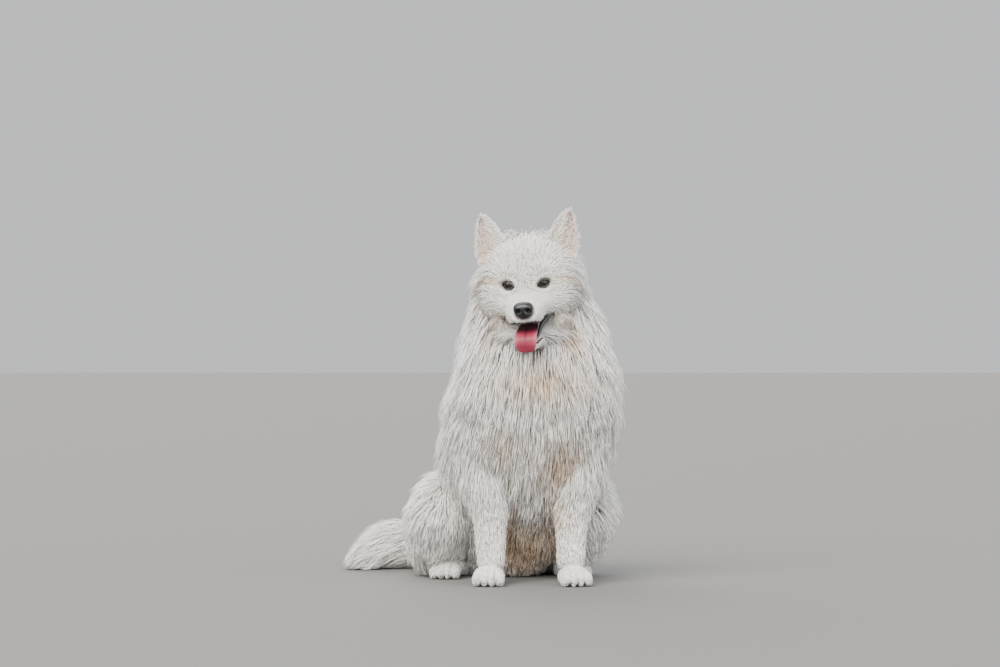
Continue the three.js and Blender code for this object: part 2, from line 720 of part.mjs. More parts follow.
const headPoint = (x, y, z) => V(x, y, z).applyMatrix4(headFrame);
const jawBone = jawSolid(0).subtract(union(mouth, tongueRoom));
const nose = onHead(nosePad.solid().subtract(noseHollows()));
const cleftTongue = onHead(tongue.solid().subtract(tongueGroove.solid()));
addNode("lower_jaw", jawBone, coat(WHITE_COAT), headPoint(0, JAW_HINGE.y, JAW_HINGE.z));
addNode("nose", nose, wet(NOSE_LEATHER), headPoint(0, -93, -38));
addNode("tongue", cleftTongue, wet(TONGUE_PINK), headPoint(0, -50, -90));
for (const way of WAYS) {
  addNode(`eye_${SIDE[way]}`, eyeball(way), wet(EYE_BROWN), headPoint(way * EYE.x, EYE.y, EYE.z));
  addNode(`ear_${SIDE[way]}`, ear(way), coat(EAR_COAT), headPoint(way * EAR.x, EAR.y, EAR.z));
}

// A block between two corners of a frame, grown on every side.
function blockCutter([low, high], frame) {
  return (grow) => block(V(...low).subScalar(grow), V(...high).addScalar(grow), frame);
}

// A limb's share of the body: its own forms, and the coat within a margin around them.
function limbCutter(margin, ...forms) {
  return (grow) => union(forms.map((form) => form.solid({ grow: margin + grow, rings: 4, sides: 8 })));
}

part("head", blockCutter(HEAD_SHARE, headFrame), headPoint(0, 80, 0));
part("neck", blockCutter(NECK_SHARE, frameAt(NECK_BASE, NECK_SLOPE)), V(5, 90, 480));
for (const [i, way] of WAYS.entries()) {
  const hip = V(HIP_OFFSET + way * 90, HIP_DEPTH + 85, 140);
  const hindLeg = [thighs[i], hindFootForm(way)];
  part(`forepaw_${SIDE[way]}`, blockCutter(FOREPAW_SHARE, forepawFrame(way)), V(way * 84, 10, 42));
  part(`foreleg_${SIDE[way]}`, limbCutter(LEG_MARGIN, forelegs[i]), V(way * 106, 66, 345));
  part(`hindpaw_${SIDE[way]}`, blockCutter(HINDPAW_SHARE, hindpawFrame(way)), V(hip.x, 165, 20));
  part(`hindleg_${SIDE[way]}`, limbCutter(COAT_MARGIN, ...hindLeg), hip);
}
part("tail", limbCutter(COAT_MARGIN, tail), V(-60, 326, 95));
addNode("torso", rest, coat(WHITE_COAT), V(0, 104, 346));

// The model stands on the floor with the middle of its box above the origin.
const dog = new THREE.Group();
const extent = new THREE.Box3();
for (const { name, solid, finish, origin } of nodes) {
  const mesh = new THREE.Mesh(geometryOf(solid, origin), finish);
  mesh.name = name;
  mesh.position.copy(origin);
  dog.add(mesh);
  extent.expandByObject(mesh);
}
const middle = extent.getCenter(V());
dog.position.set(-middle.x, -middle.y, -extent.min.z);
export default dog;
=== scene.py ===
"""A life-size Samoyed sitting on the floor: one skin, its long white coat and its fine parts.

Lengths are millimetres in the dog's own frame: origin on the floor midway between the forepaws,
the dog facing -Y with its left side towards +X. build_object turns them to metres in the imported
frame.
"""

import logging
from dataclasses import dataclass, field
from enum import Enum

import bpy
import numpy as np
from mathutils import Euler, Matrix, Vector


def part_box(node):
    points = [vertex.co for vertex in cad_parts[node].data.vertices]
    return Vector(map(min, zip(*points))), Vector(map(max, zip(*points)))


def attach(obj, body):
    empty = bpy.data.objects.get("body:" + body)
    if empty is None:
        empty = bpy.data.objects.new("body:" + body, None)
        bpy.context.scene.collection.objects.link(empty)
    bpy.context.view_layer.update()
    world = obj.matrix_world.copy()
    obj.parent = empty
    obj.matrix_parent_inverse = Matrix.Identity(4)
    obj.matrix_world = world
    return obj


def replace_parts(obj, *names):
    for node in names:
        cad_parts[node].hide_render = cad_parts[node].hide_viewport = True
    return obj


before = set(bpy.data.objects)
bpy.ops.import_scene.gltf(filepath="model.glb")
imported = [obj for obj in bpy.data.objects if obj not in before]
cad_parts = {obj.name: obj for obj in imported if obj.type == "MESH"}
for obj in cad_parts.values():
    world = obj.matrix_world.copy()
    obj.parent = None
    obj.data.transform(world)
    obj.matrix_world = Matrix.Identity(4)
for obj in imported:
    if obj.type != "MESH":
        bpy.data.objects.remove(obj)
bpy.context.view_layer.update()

LOG = logging.getLogger("samoyed")

MM = 0.001
WAYS = (-1, 1)
SIDE_NAMES = {-1: "right", 1: "left"}
SEED = 11

# Driving dimensions, the same as the solids'.
EYE_HEIGHT = 617.0
FOREPAW_SPREAD = 168.0
HAUNCH_SPREAD = 288.0
HIP_OFFSET = -41.0
HIP_DEPTH = 195.0
EYE_RADIUS = 12.3
EYE_OUT = 35.0
EYE_DEPTH = -3.0
EYE_FACING = 17.0
EYE_SLANT = 13.0
JAW_HINGE = np.array([0.0, 40.0, -55.0])
JAW_OPEN = 16.0

FLOOR_GAP = 0.3
LIP_POINTS = 91
# Longer than any hair, for places where nothing shortens the coat.
NO_LIMIT = 400.0


class Region(Enum):
    """The parts of the coat that become pieces of their own."""

    FACE = "coat_face"
    HEAD = "coat_head"
    EARS = "coat_ears"
    RUFF = "coat_ruff"
    CHEST = "coat_chest"
    BELLY = "coat_belly"
    BACK = "coat_back"
    FLANKS = "coat_flanks"
    THIGHS = "coat_thighs"
    LEGS = "coat_legs"
    PAWS = "coat_paws"
    TAIL = "coat_tail"


def unit(vectors: np.ndarray) -> np.ndarray:
    """Vectors scaled to length one.

    Args:
        vectors: Array whose last axis holds x, y, z.

    Returns:
        The same directions with length one.
    """
    return vectors / np.maximum(np.linalg.norm(vectors, axis=-1, keepdims=True), 1e-9)


def ramp(values: np.ndarray, start: float, end: float) -> np.ndarray:
    """A straight rise from 0 at the start to 1 at the end, and level beyond both.

    Args:
        values: What is measured.
        start: Where the rise starts; it may be more than the end.
        end: Where the rise ends.

    Returns:
        Shares from 0 to 1.
    """
    return np.clip((values - start) / (end - start), 0, 1)


def turn_matrix(pitch: float, roll: float, turn: float) -> np.ndarray:
    """Rotation about X by pitch, then about Y by roll, then about Z by turn.

    Args:
        pitch: Degrees about X.
        roll: Degrees about Y.
        turn: Degrees about Z.

    Returns:
        The 3 by 3 rotation matrix.
    """
    return np.array(Euler(np.radians([pitch, roll, turn]), "XYZ").to_matrix())


@dataclass(frozen=True)
class Place:
    """A local frame: a turn, then a shift."""

    origin: tuple[float, float, float]
    angles: tuple[float, float, float] = (0.0, 0.0, 0.0)

    def out(self, points: np.ndarray) -> np.ndarray:
        """Local points in the frame outside."""
        return points @ turn_matrix(*self.angles).T + np.array(self.origin)

    def into(self, points: np.ndarray) -> np.ndarray:
        """Outside points in the local frame."""
        return (points - np.array(self.origin)) @ turn_matrix(*self.angles)

    def turned(self, vectors: np.ndarray) -> np.ndarray:
        """Local directions in the frame outside."""
        return vectors @ turn_matrix(*self.angles).T

    def unturned(self, vectors: np.ndarray) -> np.ndarray:
        """Outside directions in the local frame."""
        return vectors @ turn_matrix(*self.angles)


HEAD = Place((-10.0, -4.0, EYE_HEIGHT), (10.0, -4.0, -7.0))


@dataclass
class Mesh:
    """Points and polygons, before they become an object.

    Attributes:
        points: Array (n, 3).
        faces: Arrays of point numbers, one array for each number of corners.
        fields: One value for each point, by attribute name.
    """

    points: np.ndarray
    faces: list[np.ndarray]
    fields: dict[str, np.ndarray] = field(default_factory=dict)

    def moved(self, points: np.ndarray) -> "Mesh":
        """The same surface with other points."""
        return Mesh(points, self.faces, self.fields)


def joined(meshes: list[Mesh]) -> Mesh:
    """Several meshes as one, each kept as its own shell.

    Args:
        meshes: The meshes, all with the same fields.

    Returns:
        One mesh.
    """
    starts = np.cumsum([0] + [len(m.points) for m in meshes])
    faces = [f + start for m, start in zip(meshes, starts) for f in m.faces]
    names = meshes[0].fields.keys()
    fields = {n: np.concatenate([m.fields[n] for m in meshes]) for n in names}
    return Mesh(np.concatenate([m.points for m in meshes]), faces, fields)


def circle(count: int) -> np.ndarray:
    """Angles evenly spaced about a full turn."""
    return np.linspace(0, 2 * np.pi, count, endpoint=False)


def globe(margin: float, rows: int, columns: int) -> tuple[np.ndarray, np.ndarray]:
    """Angles from the pole and about the axis for the rings of a ball.

    Args:
        margin: Angle between a pole and its first ring, in degrees.
        rows: How many rings.
        columns: How many points each has.

    Returns:
        Two arrays (rows, columns).
    """
    t = np.radians(np.linspace(margin, 180 - margin, rows))
    return tuple(np.meshgrid(t, circle(columns), indexing="ij"))


def grid_faces(rows: int, columns: int, start: int = 0) -> np.ndarray:
    """Quads between neighbouring rings of a closed tube.

    Args:
        rows: How many rings.
        columns: How many points each ring has.
        start: Number of the first ring's first point.

    Returns:
        Array (n, 4) of point numbers.
    """
    r, c = np.meshgrid(np.arange(rows - 1), np.arange(columns), indexing="ij")
    low = start + r * columns + c
    high = start + r * columns + (c + 1) % columns
    return np.stack([low, high, high + columns, low + columns], -1).reshape(-1, 4)


def tube(rings: np.ndarray, first: np.ndarray, last: np.ndarray) -> Mesh:
    """A closed surface through rings of points, with a pole at each end.

    Args:
        rings: Array (rows, columns, 3).
        first: The pole before the first ring.
        last: The pole after the last ring.

    Returns:
        The mesh, its faces outwards where the rings turn anticlockwise about their direction.
    """
    rows, columns = rings.shape[:2]
    points = np.concatenate([rings.reshape(-1, 3), [first], [last]])
    ring = np.arange(columns)
    after = (ring + 1) % columns
    end = (rows - 1) * columns
    low = np.stack([after, ring, np.full(columns, rows * columns)], -1)
    high = np.stack([end + ring, end + after, np.full(columns, rows * columns + 1)], -1)
    return Mesh(points, [grid_faces(rows, columns), low, high])


def smooth_rows(rows: np.ndarray, u: np.ndarray) -> np.ndarray:
    """Values eased through the rows of a table: a cubic through each four neighbours.

    Args:
        rows: Array (k, n) of values at evenly spaced shares.
        u: Shares from 0 to 1.

    Returns:
        Array (len(u), n).
    """
    last = len(rows) - 1
    at = np.clip(u, 0, 1) * last
    k = np.minimum(at.astype(int), last - 1)
    t = (at - k)[:, None]
    a, b, c, d = (rows[np.clip(k + i, 0, last)] for i in (-1, 0, 1, 2))
    return b + 0.5 * t * (c - a + t * (2 * a - 5 * b + 4 * c - d + t * (3 * (b - c) + d - a)))


@dataclass(frozen=True)
class Coat:
    """How the coat grows on a form.

    Attributes:
        lie: Added to the form's own direction, as a share of it.
        length: Of the tufts, as a share of the coat's depth.
        width: Of a tuft at its widest, in millimetres.
        spacing: Between tufts, in millimetres.
        region: The piece of coat that it belongs to.
    """

    lie: tuple[float, float, float]
    length: float
    width: float
    spacing: float
    region: Region


@dataclass(frozen=True)
class Form:
    """A rounded form of the body: ovals along a smooth axis, closed by a dome at each end.

    Attributes:
        stations: Rows of x, y, z, side, front, back, coat: each oval's middle, its reach to the
            side, towards `facing` and away from it, and how deep the coat is within that reach.
        facing: The direction that is the front.
        domes: Length of each end's dome, as a share of the last oval's side reach.
        coat: How the coat grows on it.
        place: The frame in which the form lies.
        bumps: Rows of x, y, z, reach, push x, push y, push z.
        squareness: Below 1, the ovals are fuller.
    """

    stations: tuple[tuple[float, ...], ...]
    facing: tuple[float, float, float]
    domes: tuple[float, float]
    coat: Coat
    place: Place = Place((0.0, 0.0, 0.0))
    bumps: tuple[tuple[float, ...], ...] = ()
    squareness: float = 1.0

    def frames(self, u: np.ndarray) -> tuple[np.ndarray, ...]:
        """The axis point and the side, front and along directions at the shares u."""
        rows = np.array(self.stations)
        middle = smooth_rows(rows[:, :3], u)
        step = 1e-3
        ahead = smooth_rows(rows[:, :3], np.minimum(u + step, 1))
        behind = smooth_rows(rows[:, :3], np.maximum(u - step, 0))
        along = unit(ahead - behind)
        side = unit(np.cross(np.array(self.facing), along))
        return middle, side, unit(np.cross(along, side)), along

    def reach(self, u: np.ndarray, depth: float) -> tuple[np.ndarray, ...]:
        """The oval's reach to its side, front and back at a depth: 1 is the tips, 0 the skin."""
        rows = smooth_rows(np.array(self.stations)[:, 3:], u)
        return tuple(rows[:, i] - rows[:, 3] * (1 - depth) for i in range(3))

    def point(
        self, u: np.ndarray, a: np.ndarray, depth: float = 0.0, share: float = 1.0
    ) -> np.ndarray:
        """Points of the surface: the axis point, plus the side and front reaches times the
        cosine and sine of the angle, both raised to the squareness.

        Args:
            u: Shares along the axis, any shape.
            a: Angles about it, in radians, of the same shape.
            depth: 1 for the coat's tips, 0 for the skin.
            share: Scale of the oval about its middle.

        Returns:
            Points in the dog's frame, with a last axis of x, y, z.
        """
        flat_u, flat_a = u.ravel(), a.ravel()
        middle, side, front, _ = self.frames(flat_u)
        across, ahead, behind = self.reach(flat_u, depth)
        towards = np.where(np.sin(flat_a) > 0, ahead, behind)
        cosine = np.sign(np.cos(flat_a)) * np.abs(np.cos(flat_a)) ** self.squareness
        sine = np.sign(np.sin(flat_a)) * np.abs(np.sin(flat_a)) ** self.squareness
        made = middle + side * (across * cosine * share)[:, None]
        made = self.swollen(made + front * (towards * sine * share)[:, None])
        return self.place.out(made).reshape(*u.shape, 3)

    def swollen(self, points: np.ndarray) -> np.ndarray:
        """Points pushed by the bumps, each fading as the bell curve of the distance."""
        made = points.copy()
        for x, y, z, reach, *push in self.bumps:
            near = np.exp(-((points - (x, y, z)) ** 2).sum(-1) / reach**2)
            made += near[:, None] * np.array(push)
        return made

    def shell(self, rows: int = 30, columns: int = 32) -> Mesh:
        """The closed skin: rings along the axis and domes that close as a cosine."""
        dome = np.radians([75, 55, 35, 18])
        u = np.linspace(0, 1, rows)
        a = circle(columns)
        ends = self.reach(np.array([0.0, 1.0]), 0.0)[0] * np.array(self.domes)
        alongs = self.place.turned(self.frames(np.array([0.0, 1.0]))[3])

        def cap(end: int, angles: np.ndarray) -> list[np.ndarray]:
            way = 1 if end else -1
            at = np.full_like(a, float(end))
            shift = alongs[end] * ends[end] * way
            return [self.point(at, a, 0.0, np.cos(t)) + shift * np.sin(t) for t in angles]

        grid_u, grid_a = np.meshgrid(u, a, indexing="ij")
        rings = np.array([*cap(0, dome), *self.point(grid_u, grid_a), *cap(1, dome[::-1])])
        zero = np.zeros(1)
        first = self.point(zero, zero, share=0.0)[0] - alongs[0] * ends[0]
        last = self.point(zero + 1, zero, share=0.0)[0] + alongs[1] * ends[1]
        return tube(rings, first, last)

    def near(self, points: np.ndarray) -> tuple[np.ndarray, np.ndarray, np.ndarray]:
        """How points of the skin lie on this form.

        Args:
            points: Array (n, 3) in the dog's frame.

        Returns:
            The level, 1 on the skin and more outside it, the coat's depth there, and the
            direction of the axis.
        """
        local = self.place.into(points)
        samples = np.linspace(0, 1, 41)
        middle, side, front, along = self.frames(samples)
        nearest = np.empty(len(local), int)
        batch = 20000
        for start in range(0, len(local), batch):
            part = local[start : start + batch]
            gaps = ((part[:, None] - middle[None]) ** 2).sum(-1)
            nearest[start : start + batch] = gaps.argmin(1)
        offset = local - middle[nearest]
        x, y, z = (np.einsum("ij,ij->i", offset, axis[nearest]) for axis in (side, front, along))
        across, ahead, behind = self.reach(samples, 0.0)
        towards = np.where(y > 0, ahead[nearest], behind[nearest])
        wide = across[nearest]
        level = np.sqrt((x / wide) ** 2 + (y / towards) ** 2 + (z / wide) ** 2)
        depth = smooth_rows(np.array(self.stations)[:, 6:7], samples)[nearest, 0]
        return level, depth, self.place.turned(along[nearest])


def mirrored_bumps(*bumps: tuple[float, ...]) -> tuple[tuple[float, ...], ...]:
    """Each bump and its mirror image across the middle of the face."""
    flipped = tuple((-x, y, z, reach, -px, py, pz) for x, y, z, reach, px, py, pz in bumps)
    return bumps + flipped


LONG_FALL = Coat((0.0, 0.0, -0.35), 1.45, 2.3, 3.3, Region.BACK)
HEAD_COAT = Coat((0.0, 0.25, -0.1), 1.6, 1.6, 2.5, Region.HEAD)
LEG_COAT = Coat((0.0, 0.0, -0.2), 1.8, 1.8, 3.0, Region.LEGS)
PAW_COAT = Coat((0.0, -0.2, -0.3), 2.6, 1.4, 2.0, Region.LEGS)
TAIL_COAT = Coat((0.0, 0.0, -0.1), 2.0, 2.3, 3.2, Region.TAIL)

TRUNK = Form(
    stations=(
        (-6, 104, 700, 88, 50, 70, 34),
        (-5, 99, 672, 116, 60, 92, 40),
        (-1, 94, 636, 134, 72, 114, 48),
        (2, 88, 590, 152, 84, 134, 56),
        (6, 84, 540, 168, 96, 140, 60),
        (8, 82, 482, 179, 124, 144, 60),
        (9, 87, 418, 191, 147, 154, 56),
        (1, 104, 346, 194, 157, 164, 50),
        (-12, 134, 270, 192, 149, 162, 46),
        (-28, 174, 196, 176, 130, 152, 42),
        (-42, 216, 126, 150, 118, 134, 38),
        (-52, 250, 66, 118, 108, 106, 32),
    ),
    facing=(0, -1, 0),
    domes=(0.3, 0.5),
    coat=LONG_FALL,
)

SKULL = Form(
    stations=(
        (0, -92, -48, 27, 17, 19, 3),
        (0, -80, -48, 35, 23, 25, 4),
        (0, -62, -46, 41, 28, 29, 5),
        (0, -40, -42, 49, 31, 33, 6),
        (0, -14, -34, 68, 38, 42, 9),
        (0, 12, -20, 88, 66, 60, 14),
        (0, 44, -4, 104, 91, 80, 22),
        (0, 80, 4, 104, 96, 82, 26),
        (0, 116, 2, 88, 72, 76, 28),
    ),
    facing=(0, 0, 1),
    domes=(0.45, 0.6),
    coat=HEAD_COAT,
    place=HEAD,
    squareness=0.88,
    bumps=mirrored_bumps(
        (38, -8, 22, 18, 2, -7, 4),
        (56, -4, 0, 14, -3, 4, 0),
        (26, -74, -66, 18, 5, -3, -4),
        (80, 12, -50, 38, 14, -12, -8),
        (30, -26, -18, 16, -5, 2, -3),
    )
    + ((0, -18, 6, 22, 0, 5, -3),),
)


def jaw_place() -> Place:
    """The head's frame with the lower jaw turned open about its hinge."""
    opened = turn_matrix(JAW_OPEN, 0, 0)
    origin = HEAD.out((JAW_HINGE - opened @ JAW_HINGE)[None])[0]
    pitch, roll, turn = HEAD.angles
    whole = turn_matrix(pitch, roll, turn) @ opened
    angles = np.degrees(
        [
            np.arctan2(whole[2, 1], whole[2, 2]),
            -np.arcsin(whole[2, 0]),
            np.arctan2(whole[1, 0], whole[0, 0]),
        ]
    )
    return Place(tuple(origin), tuple(angles))


JAW = Form(
    stations=(
        (0, -84, -84, 23, 9, 11, 3),
        (0, -60, -87, 33, 12, 15, 4),
        (0, -36, -88, 41, 16, 22, 7),
        (0, -6, -86, 54, 22, 32, 14),
        (0, 30, -78, 64, 28, 42, 22),
    ),
    facing=(0, 0, 1),
    domes=(0.6, 0.5),
    coat=Coat((0.0, 0.3, -0.5), 1.9, 2.0, 2.7, Region.HEAD),
    place=jaw_place(),
)


def thigh(way: int) -> Form:
    """One thigh, from the hip forward to the knee; way is -1 on the dog's right, 1 on its left."""

    def x(out: float) -> float:
        return HIP_OFFSET + way * (HAUNCH_SPREAD / 2 + out)

    pushes = {
        -1: ((80, 30, 15, 90, 26), (80, 30, 200, 70, -12)),
        1: ((90, 20, 20, 70, -26), (60, 30, 235, 60, 16)),
    }
    return Form(
        stations=(
            (x(-78), HIP_DEPTH + 112, 142, 78, 74, 142, 28),
            (x(-30), HIP_DEPTH + 62, 144, 96, 90, 146, 30),
            (x(0), HIP_DEPTH + 6, 140, 84, 86, 142, 30),
            (x(12), HIP_DEPTH - 50, 126, 66, 68, 114, 26),
            (x(14), HIP_DEPTH - 78, 112, 46, 48, 86, 20),
        ),
        facing=(0, 0, 1),
        domes=(0.5, 0.5),
        coat=Coat((way * 0.45, 0.8, -1.5), 1.8, 2.4, 4.0, Region.THIGHS),
        bumps=tuple((x(o), HIP_DEPTH + y, z, r, way * p, 0, 0) for o, y, z, r, p in pushes[way]),
    )


def hind_foot(way: int) -> Form:
    """A hind foot, flat on the floor from the hock to the ball of the toes."""

    def x(out: float) -> float:
        return HIP_OFFSET + way * out

    return Form(
        stations=(
            (x(110), HIP_DEPTH + 120, 32, 30, 30, 34, 12),
            (x(122), HIP_DEPTH + 40, 28, 31, 27, 30, 9),
            (x(134), HIP_DEPTH - 26, 23, 34, 22, 25, 6),
        ),
        facing=(0, 0, 1),
        domes=(0.7, 0.5),
        coat=LEG_COAT,
    )


def foreleg(way: int) -> Form:
    """A foreleg, from the shoulder straight down to the wrist."""

    def x(out: float) -> float:
        return way * (FOREPAW_SPREAD / 2 + out)

    return Form(
        stations=(
            (x(22), 66, 345, 66, 74, 74, 40),
            (x(20), 62, 265, 60, 62, 72, 34),
            (x(10), 47, 198, 46, 46, 64, 22),
            (x(0), 28, 130, 36, 34, 50, 13),
            (x(-2), 10, 44, 32, 30, 34, 8),
        ),
        facing=(0, -1, 0),
        domes=(0.5, 0.4),
        coat=LEG_COAT,
    )


TAIL = Form(
    stations=(
        (-46, 316, 98, 52, 56, 60, 26),
        (-112, 376, 76, 62, 54, 78, 34),
        (-196, 404, 68, 68, 54, 70, 38),
        (-286, 396, 60, 68, 60, 62, 38),
        (-346, 380, 38, 52, 42, 40, 26),
        (-382, 370, 18, 25, 20, 20, 12),
    ),
    facing=(0, 0, 1),
    domes=(0.5, 0.7),
    coat=TAIL_COAT,
)


@dataclass(frozen=True)
class Ball:
    """An ellipsoid of flesh, with short coat over it.

    Attributes:
        place: Its frame.
        radii: Its three reaches at the skin.
        coat: How the coat grows on it.
        depth: The coat's depth.
        lie: The direction of the coat.
    """

    place: Place
    radii: tuple[float, float, float]
    coat: Coat
    depth: float
    lie: tuple[float, float, float]

    def shell(self) -> Mesh:
        """The closed surface: latitude rings from pole to pole."""
        grid_t, grid_a = globe(12, 14, 20)
        rings = np.stack(
            [np.sin(grid_t) * np.cos(grid_a), np.sin(grid_t) * np.sin(grid_a), -np.cos(grid_t)], -1
        )
        scale = np.array(self.radii)
        poles = self.place.out(np.array([[0, 0, -1.0], [0, 0, 1.0]]) * scale)
        return tube(self.place.out(rings * scale), *poles)

    def near(self, points: np.ndarray) -> tuple[np.ndarray, np.ndarray, np.ndarray]:
        """The level, coat depth and lie of points, as a form gives them."""
        level = np.linalg.norm(self.place.into(points) / np.array(self.radii), axis=-1)
        ones = np.ones(len(points))
        lie = self.place.turned(np.tile(unit(np.array(self.lie)), (len(points), 1)))
        return level, ones * self.depth, lie


@dataclass(frozen=True)
class Paw:
    """One paw: a ball and four toes, each toe ending in a claw.

    Attributes:
        place: Its frame, with the sole on the floor.
        width: Half of its width.
        length: Half of its length.
        height: Its height.
        toes: How many toes.
    """

    place: Place
    width: float
    length: float
    height: float
    toes: int = 4

    def toe_places(self) -> list[tuple[np.ndarray, float]]:
        """Each toe's middle and its spread in degrees, fanned across the front of the paw."""
        across = (np.arange(self.toes) - (self.toes - 1) / 2) / (self.toes / 2)
        ahead = -self.length * (0.62 - 0.22 * across**2)
        return [
            (np.array([c * self.width * 0.8, y, self.height * 0.36]), c * 8)
            for c, y in zip(across, ahead)
        ]

    def balls(self) -> list[Ball]:
        """The flesh of the paw and its toes, a little within the fur."""
        turn = self.place.angles[2]

        def ball(at: np.ndarray, spread: float, radii: tuple[float, float, float]) -> Ball:
            place = Place(tuple(self.place.out(at[None])[0]), (0, 0, turn + spread))
            return Ball(place, radii, PAW_COAT, depth=2.2, lie=(0, -1, -0.35))

        w, l, h = self.width, self.length, self.height
        flesh = [ball(np.array([0, -l * 0.12, h * 0.46]), 0, (w * 0.86, l * 0.68, h * 0.54))]
        for at, spread in self.toe_places():
            flesh.append(ball(at, spread, (w * 0.265, l * 0.41, h * 0.38)))
        return flesh


def jowl(way: int) -> Ball:
    """The fold of flesh behind one corner of the mouth; its hair runs back and down."""
    middle = HEAD.out(np.array([[way * 56.0, 26, -68]]))[0]
    coat = Coat((0.0, 0.6, -0.8), 1.7, 2.0, 2.7, Region.HEAD)
    return Ball(Place(tuple(middle), HEAD.angles), (16, 38, 29), coat, depth=14.0, lie=(0, 1, -0.8))


def forepaw(way: int) -> Paw:
    """A forepaw flat on the floor; the left one is turned out."""
    turn = {-1: -3.0, 1: 12.0}[way]
    place = Place((way * (FOREPAW_SPREAD / 2 + 2), -2.0, 0.0), (0.0, 0.0, turn))
    return Paw(place, width=37, length=50, height=40)


def hindpaw(way: int) -> Paw:
    """A hind paw flat on the floor, turned out a little."""
    place = Place((HIP_OFFSET + way * 136.0, HIP_DEPTH - 34, 0.0), (0.0, 0.0, way * 6.0))
    return Paw(place, width=36, length=48, height=36)


LIMBS = [make(way) for make in (thigh, hind_foot, foreleg) for way in WAYS]
PAWS = [make(way) for make in (forepaw, hindpaw) for way in WAYS]
FLESH = [TRUNK, SKULL, JAW, TAIL, *LIMBS, *map(jowl, WAYS)]
FLESH += [ball for paw in PAWS for ball in paw.balls()]


def eye_place(way: int) -> Place:
    """The frame of one eye within the head's frame: it looks along -Y."""
    return Place((way * EYE_OUT, EYE_DEPTH, 0.0), (0.0, -way * EYE_SLANT, way * EYE_FACING))


def in_eye(points: np.ndarray, way: int) -> np.ndarray:
    """Points of the dog's frame in the frame of one eye."""
    return eye_place(way).into(HEAD.into(points))


def from_eye(points: np.ndarray, way: int) -> np.ndarray:
    """Points of an eye's frame in the dog's frame."""
    return HEAD.out(eye_place(way).out(points))


def frame_shift() -> np.ndarray:
    """Metres from the dog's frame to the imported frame, from where the solids' eyes are."""
    centres = [sum(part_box(f"eye_{SIDE_NAMES[w]}"), Vector()) / 2 for w in WAYS]
    between = HEAD.out(np.array([[0.0, EYE_DEPTH, 0.0]]))[0]
    shift = np.array(sum(centres, Vector()) / 2) - between * MM
    return np.array([shift[0], shift[1], 0.0])


SHIFT = frame_shift()


def linear(code: str) -> tuple[float, float, float, float]:
    """An sRGB hex colour as linear red, green, blue and alpha."""
    part = np.array([int(code[i : i + 2], 16) for i in (1, 3, 5)]) / 255
    made = np.where(part <= 0.04045, part / 12.92, ((part + 0.055) / 1.055) ** 2.4)
    return (*made.tolist(), 1.0)


def add_node(tree: bpy.types.NodeTree, kind: str, inputs: dict, **settings) -> bpy.types.Node:
    """A node with its inputs linked or set.

    Args:
        tree: The material's node tree.
        kind: The node's type.
        inputs: Output sockets or plain values, by input name or number.
        **settings: The node's own properties.

    Returns:
        The node.
    """
    node = tree.nodes.new(kind)
    for name, value in settings.items():
        setattr(node, name, value)
    for key, value in inputs.items():
        if isinstance(value, bpy.types.NodeSocket):
            tree.links.new(value, node.inputs[key])
        else:
            node.inputs[key].default_value = value
    return node


@dataclass(frozen=True)
class Finish:
    """A surface: a base colour, other colours laid over it by attribute, and how it shines.

    Attributes:
        name: The real material and how its surface came about.
        base: sRGB hex colour.
        tints: Attribute names with the sRGB colours that they bring in.
        roughness: From 0, a mirror, to 1.
        coat: Share of a wet layer over it.
        sheen: Share of soft light along the edges.
        scatter: Share of light that goes through and comes out again.
        grain: Size in millimetres of the surface's pebbling, 0 for none.
        relief: Height of the pebbling in millimetres.
    """

    name: str
    base: str
    tints: tuple[tuple[str, str], ...] = ()
    roughness: float = 0.6
    coat: float = 0.0
    sheen: float = 0.0
    scatter: float = 0.0
    grain: float = 0.0
    relief: float = 0.0

    def material(self) -> bpy.types.Material:
        """The material, made once."""
        made = bpy.data.materials.get(self.name)
        if made:
            return made
        made = bpy.data.materials.new(self.name)
        made.use_nodes = True
        tree = made.node_tree
        shader = tree.nodes["Principled BSDF"]
        colour = add_node(tree, "ShaderNodeRGB", {}).outputs[0]
        colour.default_value = linear(self.base)
        for attribute, code in self.tints:
            share = add_node(tree, "ShaderNodeAttribute", {}, attribute_name=attribute)
            laid = {0: share.outputs["Fac"], 6: colour, 7: linear(code)}
            colour = add_node(tree, "ShaderNodeMix", laid, data_type="RGBA").outputs[2]
        tree.links.new(colour, shader.inputs["Base Color"])
        constants = {
            "Roughness": self.roughness,
            "Coat Weight": self.coat,
            "Coat Roughness": 0.12,
            "Sheen Weight": self.sheen,
            "Sheen Roughness": 0.5,
            "Subsurface Weight": self.scatter,
            "Subsurface Scale": 4 * MM,
        }
        for name, value in constants.items():
            shader.inputs[name].default_value = value
        if self.grain:
            where = add_node(tree, "ShaderNodeTexCoord", {}).outputs["Object"]
            size = 1 / (self.grain * MM)
            cells = add_node(tree, "ShaderNodeTexVoronoi", {"Vector": where, "Scale": size})
            pebbles = {
                "Height": cells.outputs["Distance"],
                "Distance": self.relief * MM,
                "Strength": 0.6,
            }
            bump = add_node(tree, "ShaderNodeBump", pebbles)
            tree.links.new(bump.outputs["Normal"], shader.inputs["Normal"])
        return made


# Long guard hairs over woolly underhair: off-white, soft at the edges, cream where it is stained,
# with painted shade under the chin, between the forelegs and towards the base of the ears' cups,
# and greyer at the roots as painted shade, so the locks read one by one.
FUR = Finish(
    "white_guard_hair",
    "#FBF9F5",
    (("cream_and_shade", "#D8AE78"), ("rose", "#E6C3B8"), ("root", "#EFEBE4")),
    roughness=0.72,
    sheen=0.25,
)
# Pale skin between the hairs, with the coat's cream stains and painted shade, and dark within the
# mouth: the lining's own dark, and painted shade the deeper it lies.
SKIN = Finish(
    "pale_skin_under_fur",
    "#F0EBE4",
    (("cream_and_shade", "#D0A572"), ("rose", "#D39C8C"), ("mouth", "#200A0C")),
    roughness=0.7,
    grain=1.2,
    relief=0.3,
)
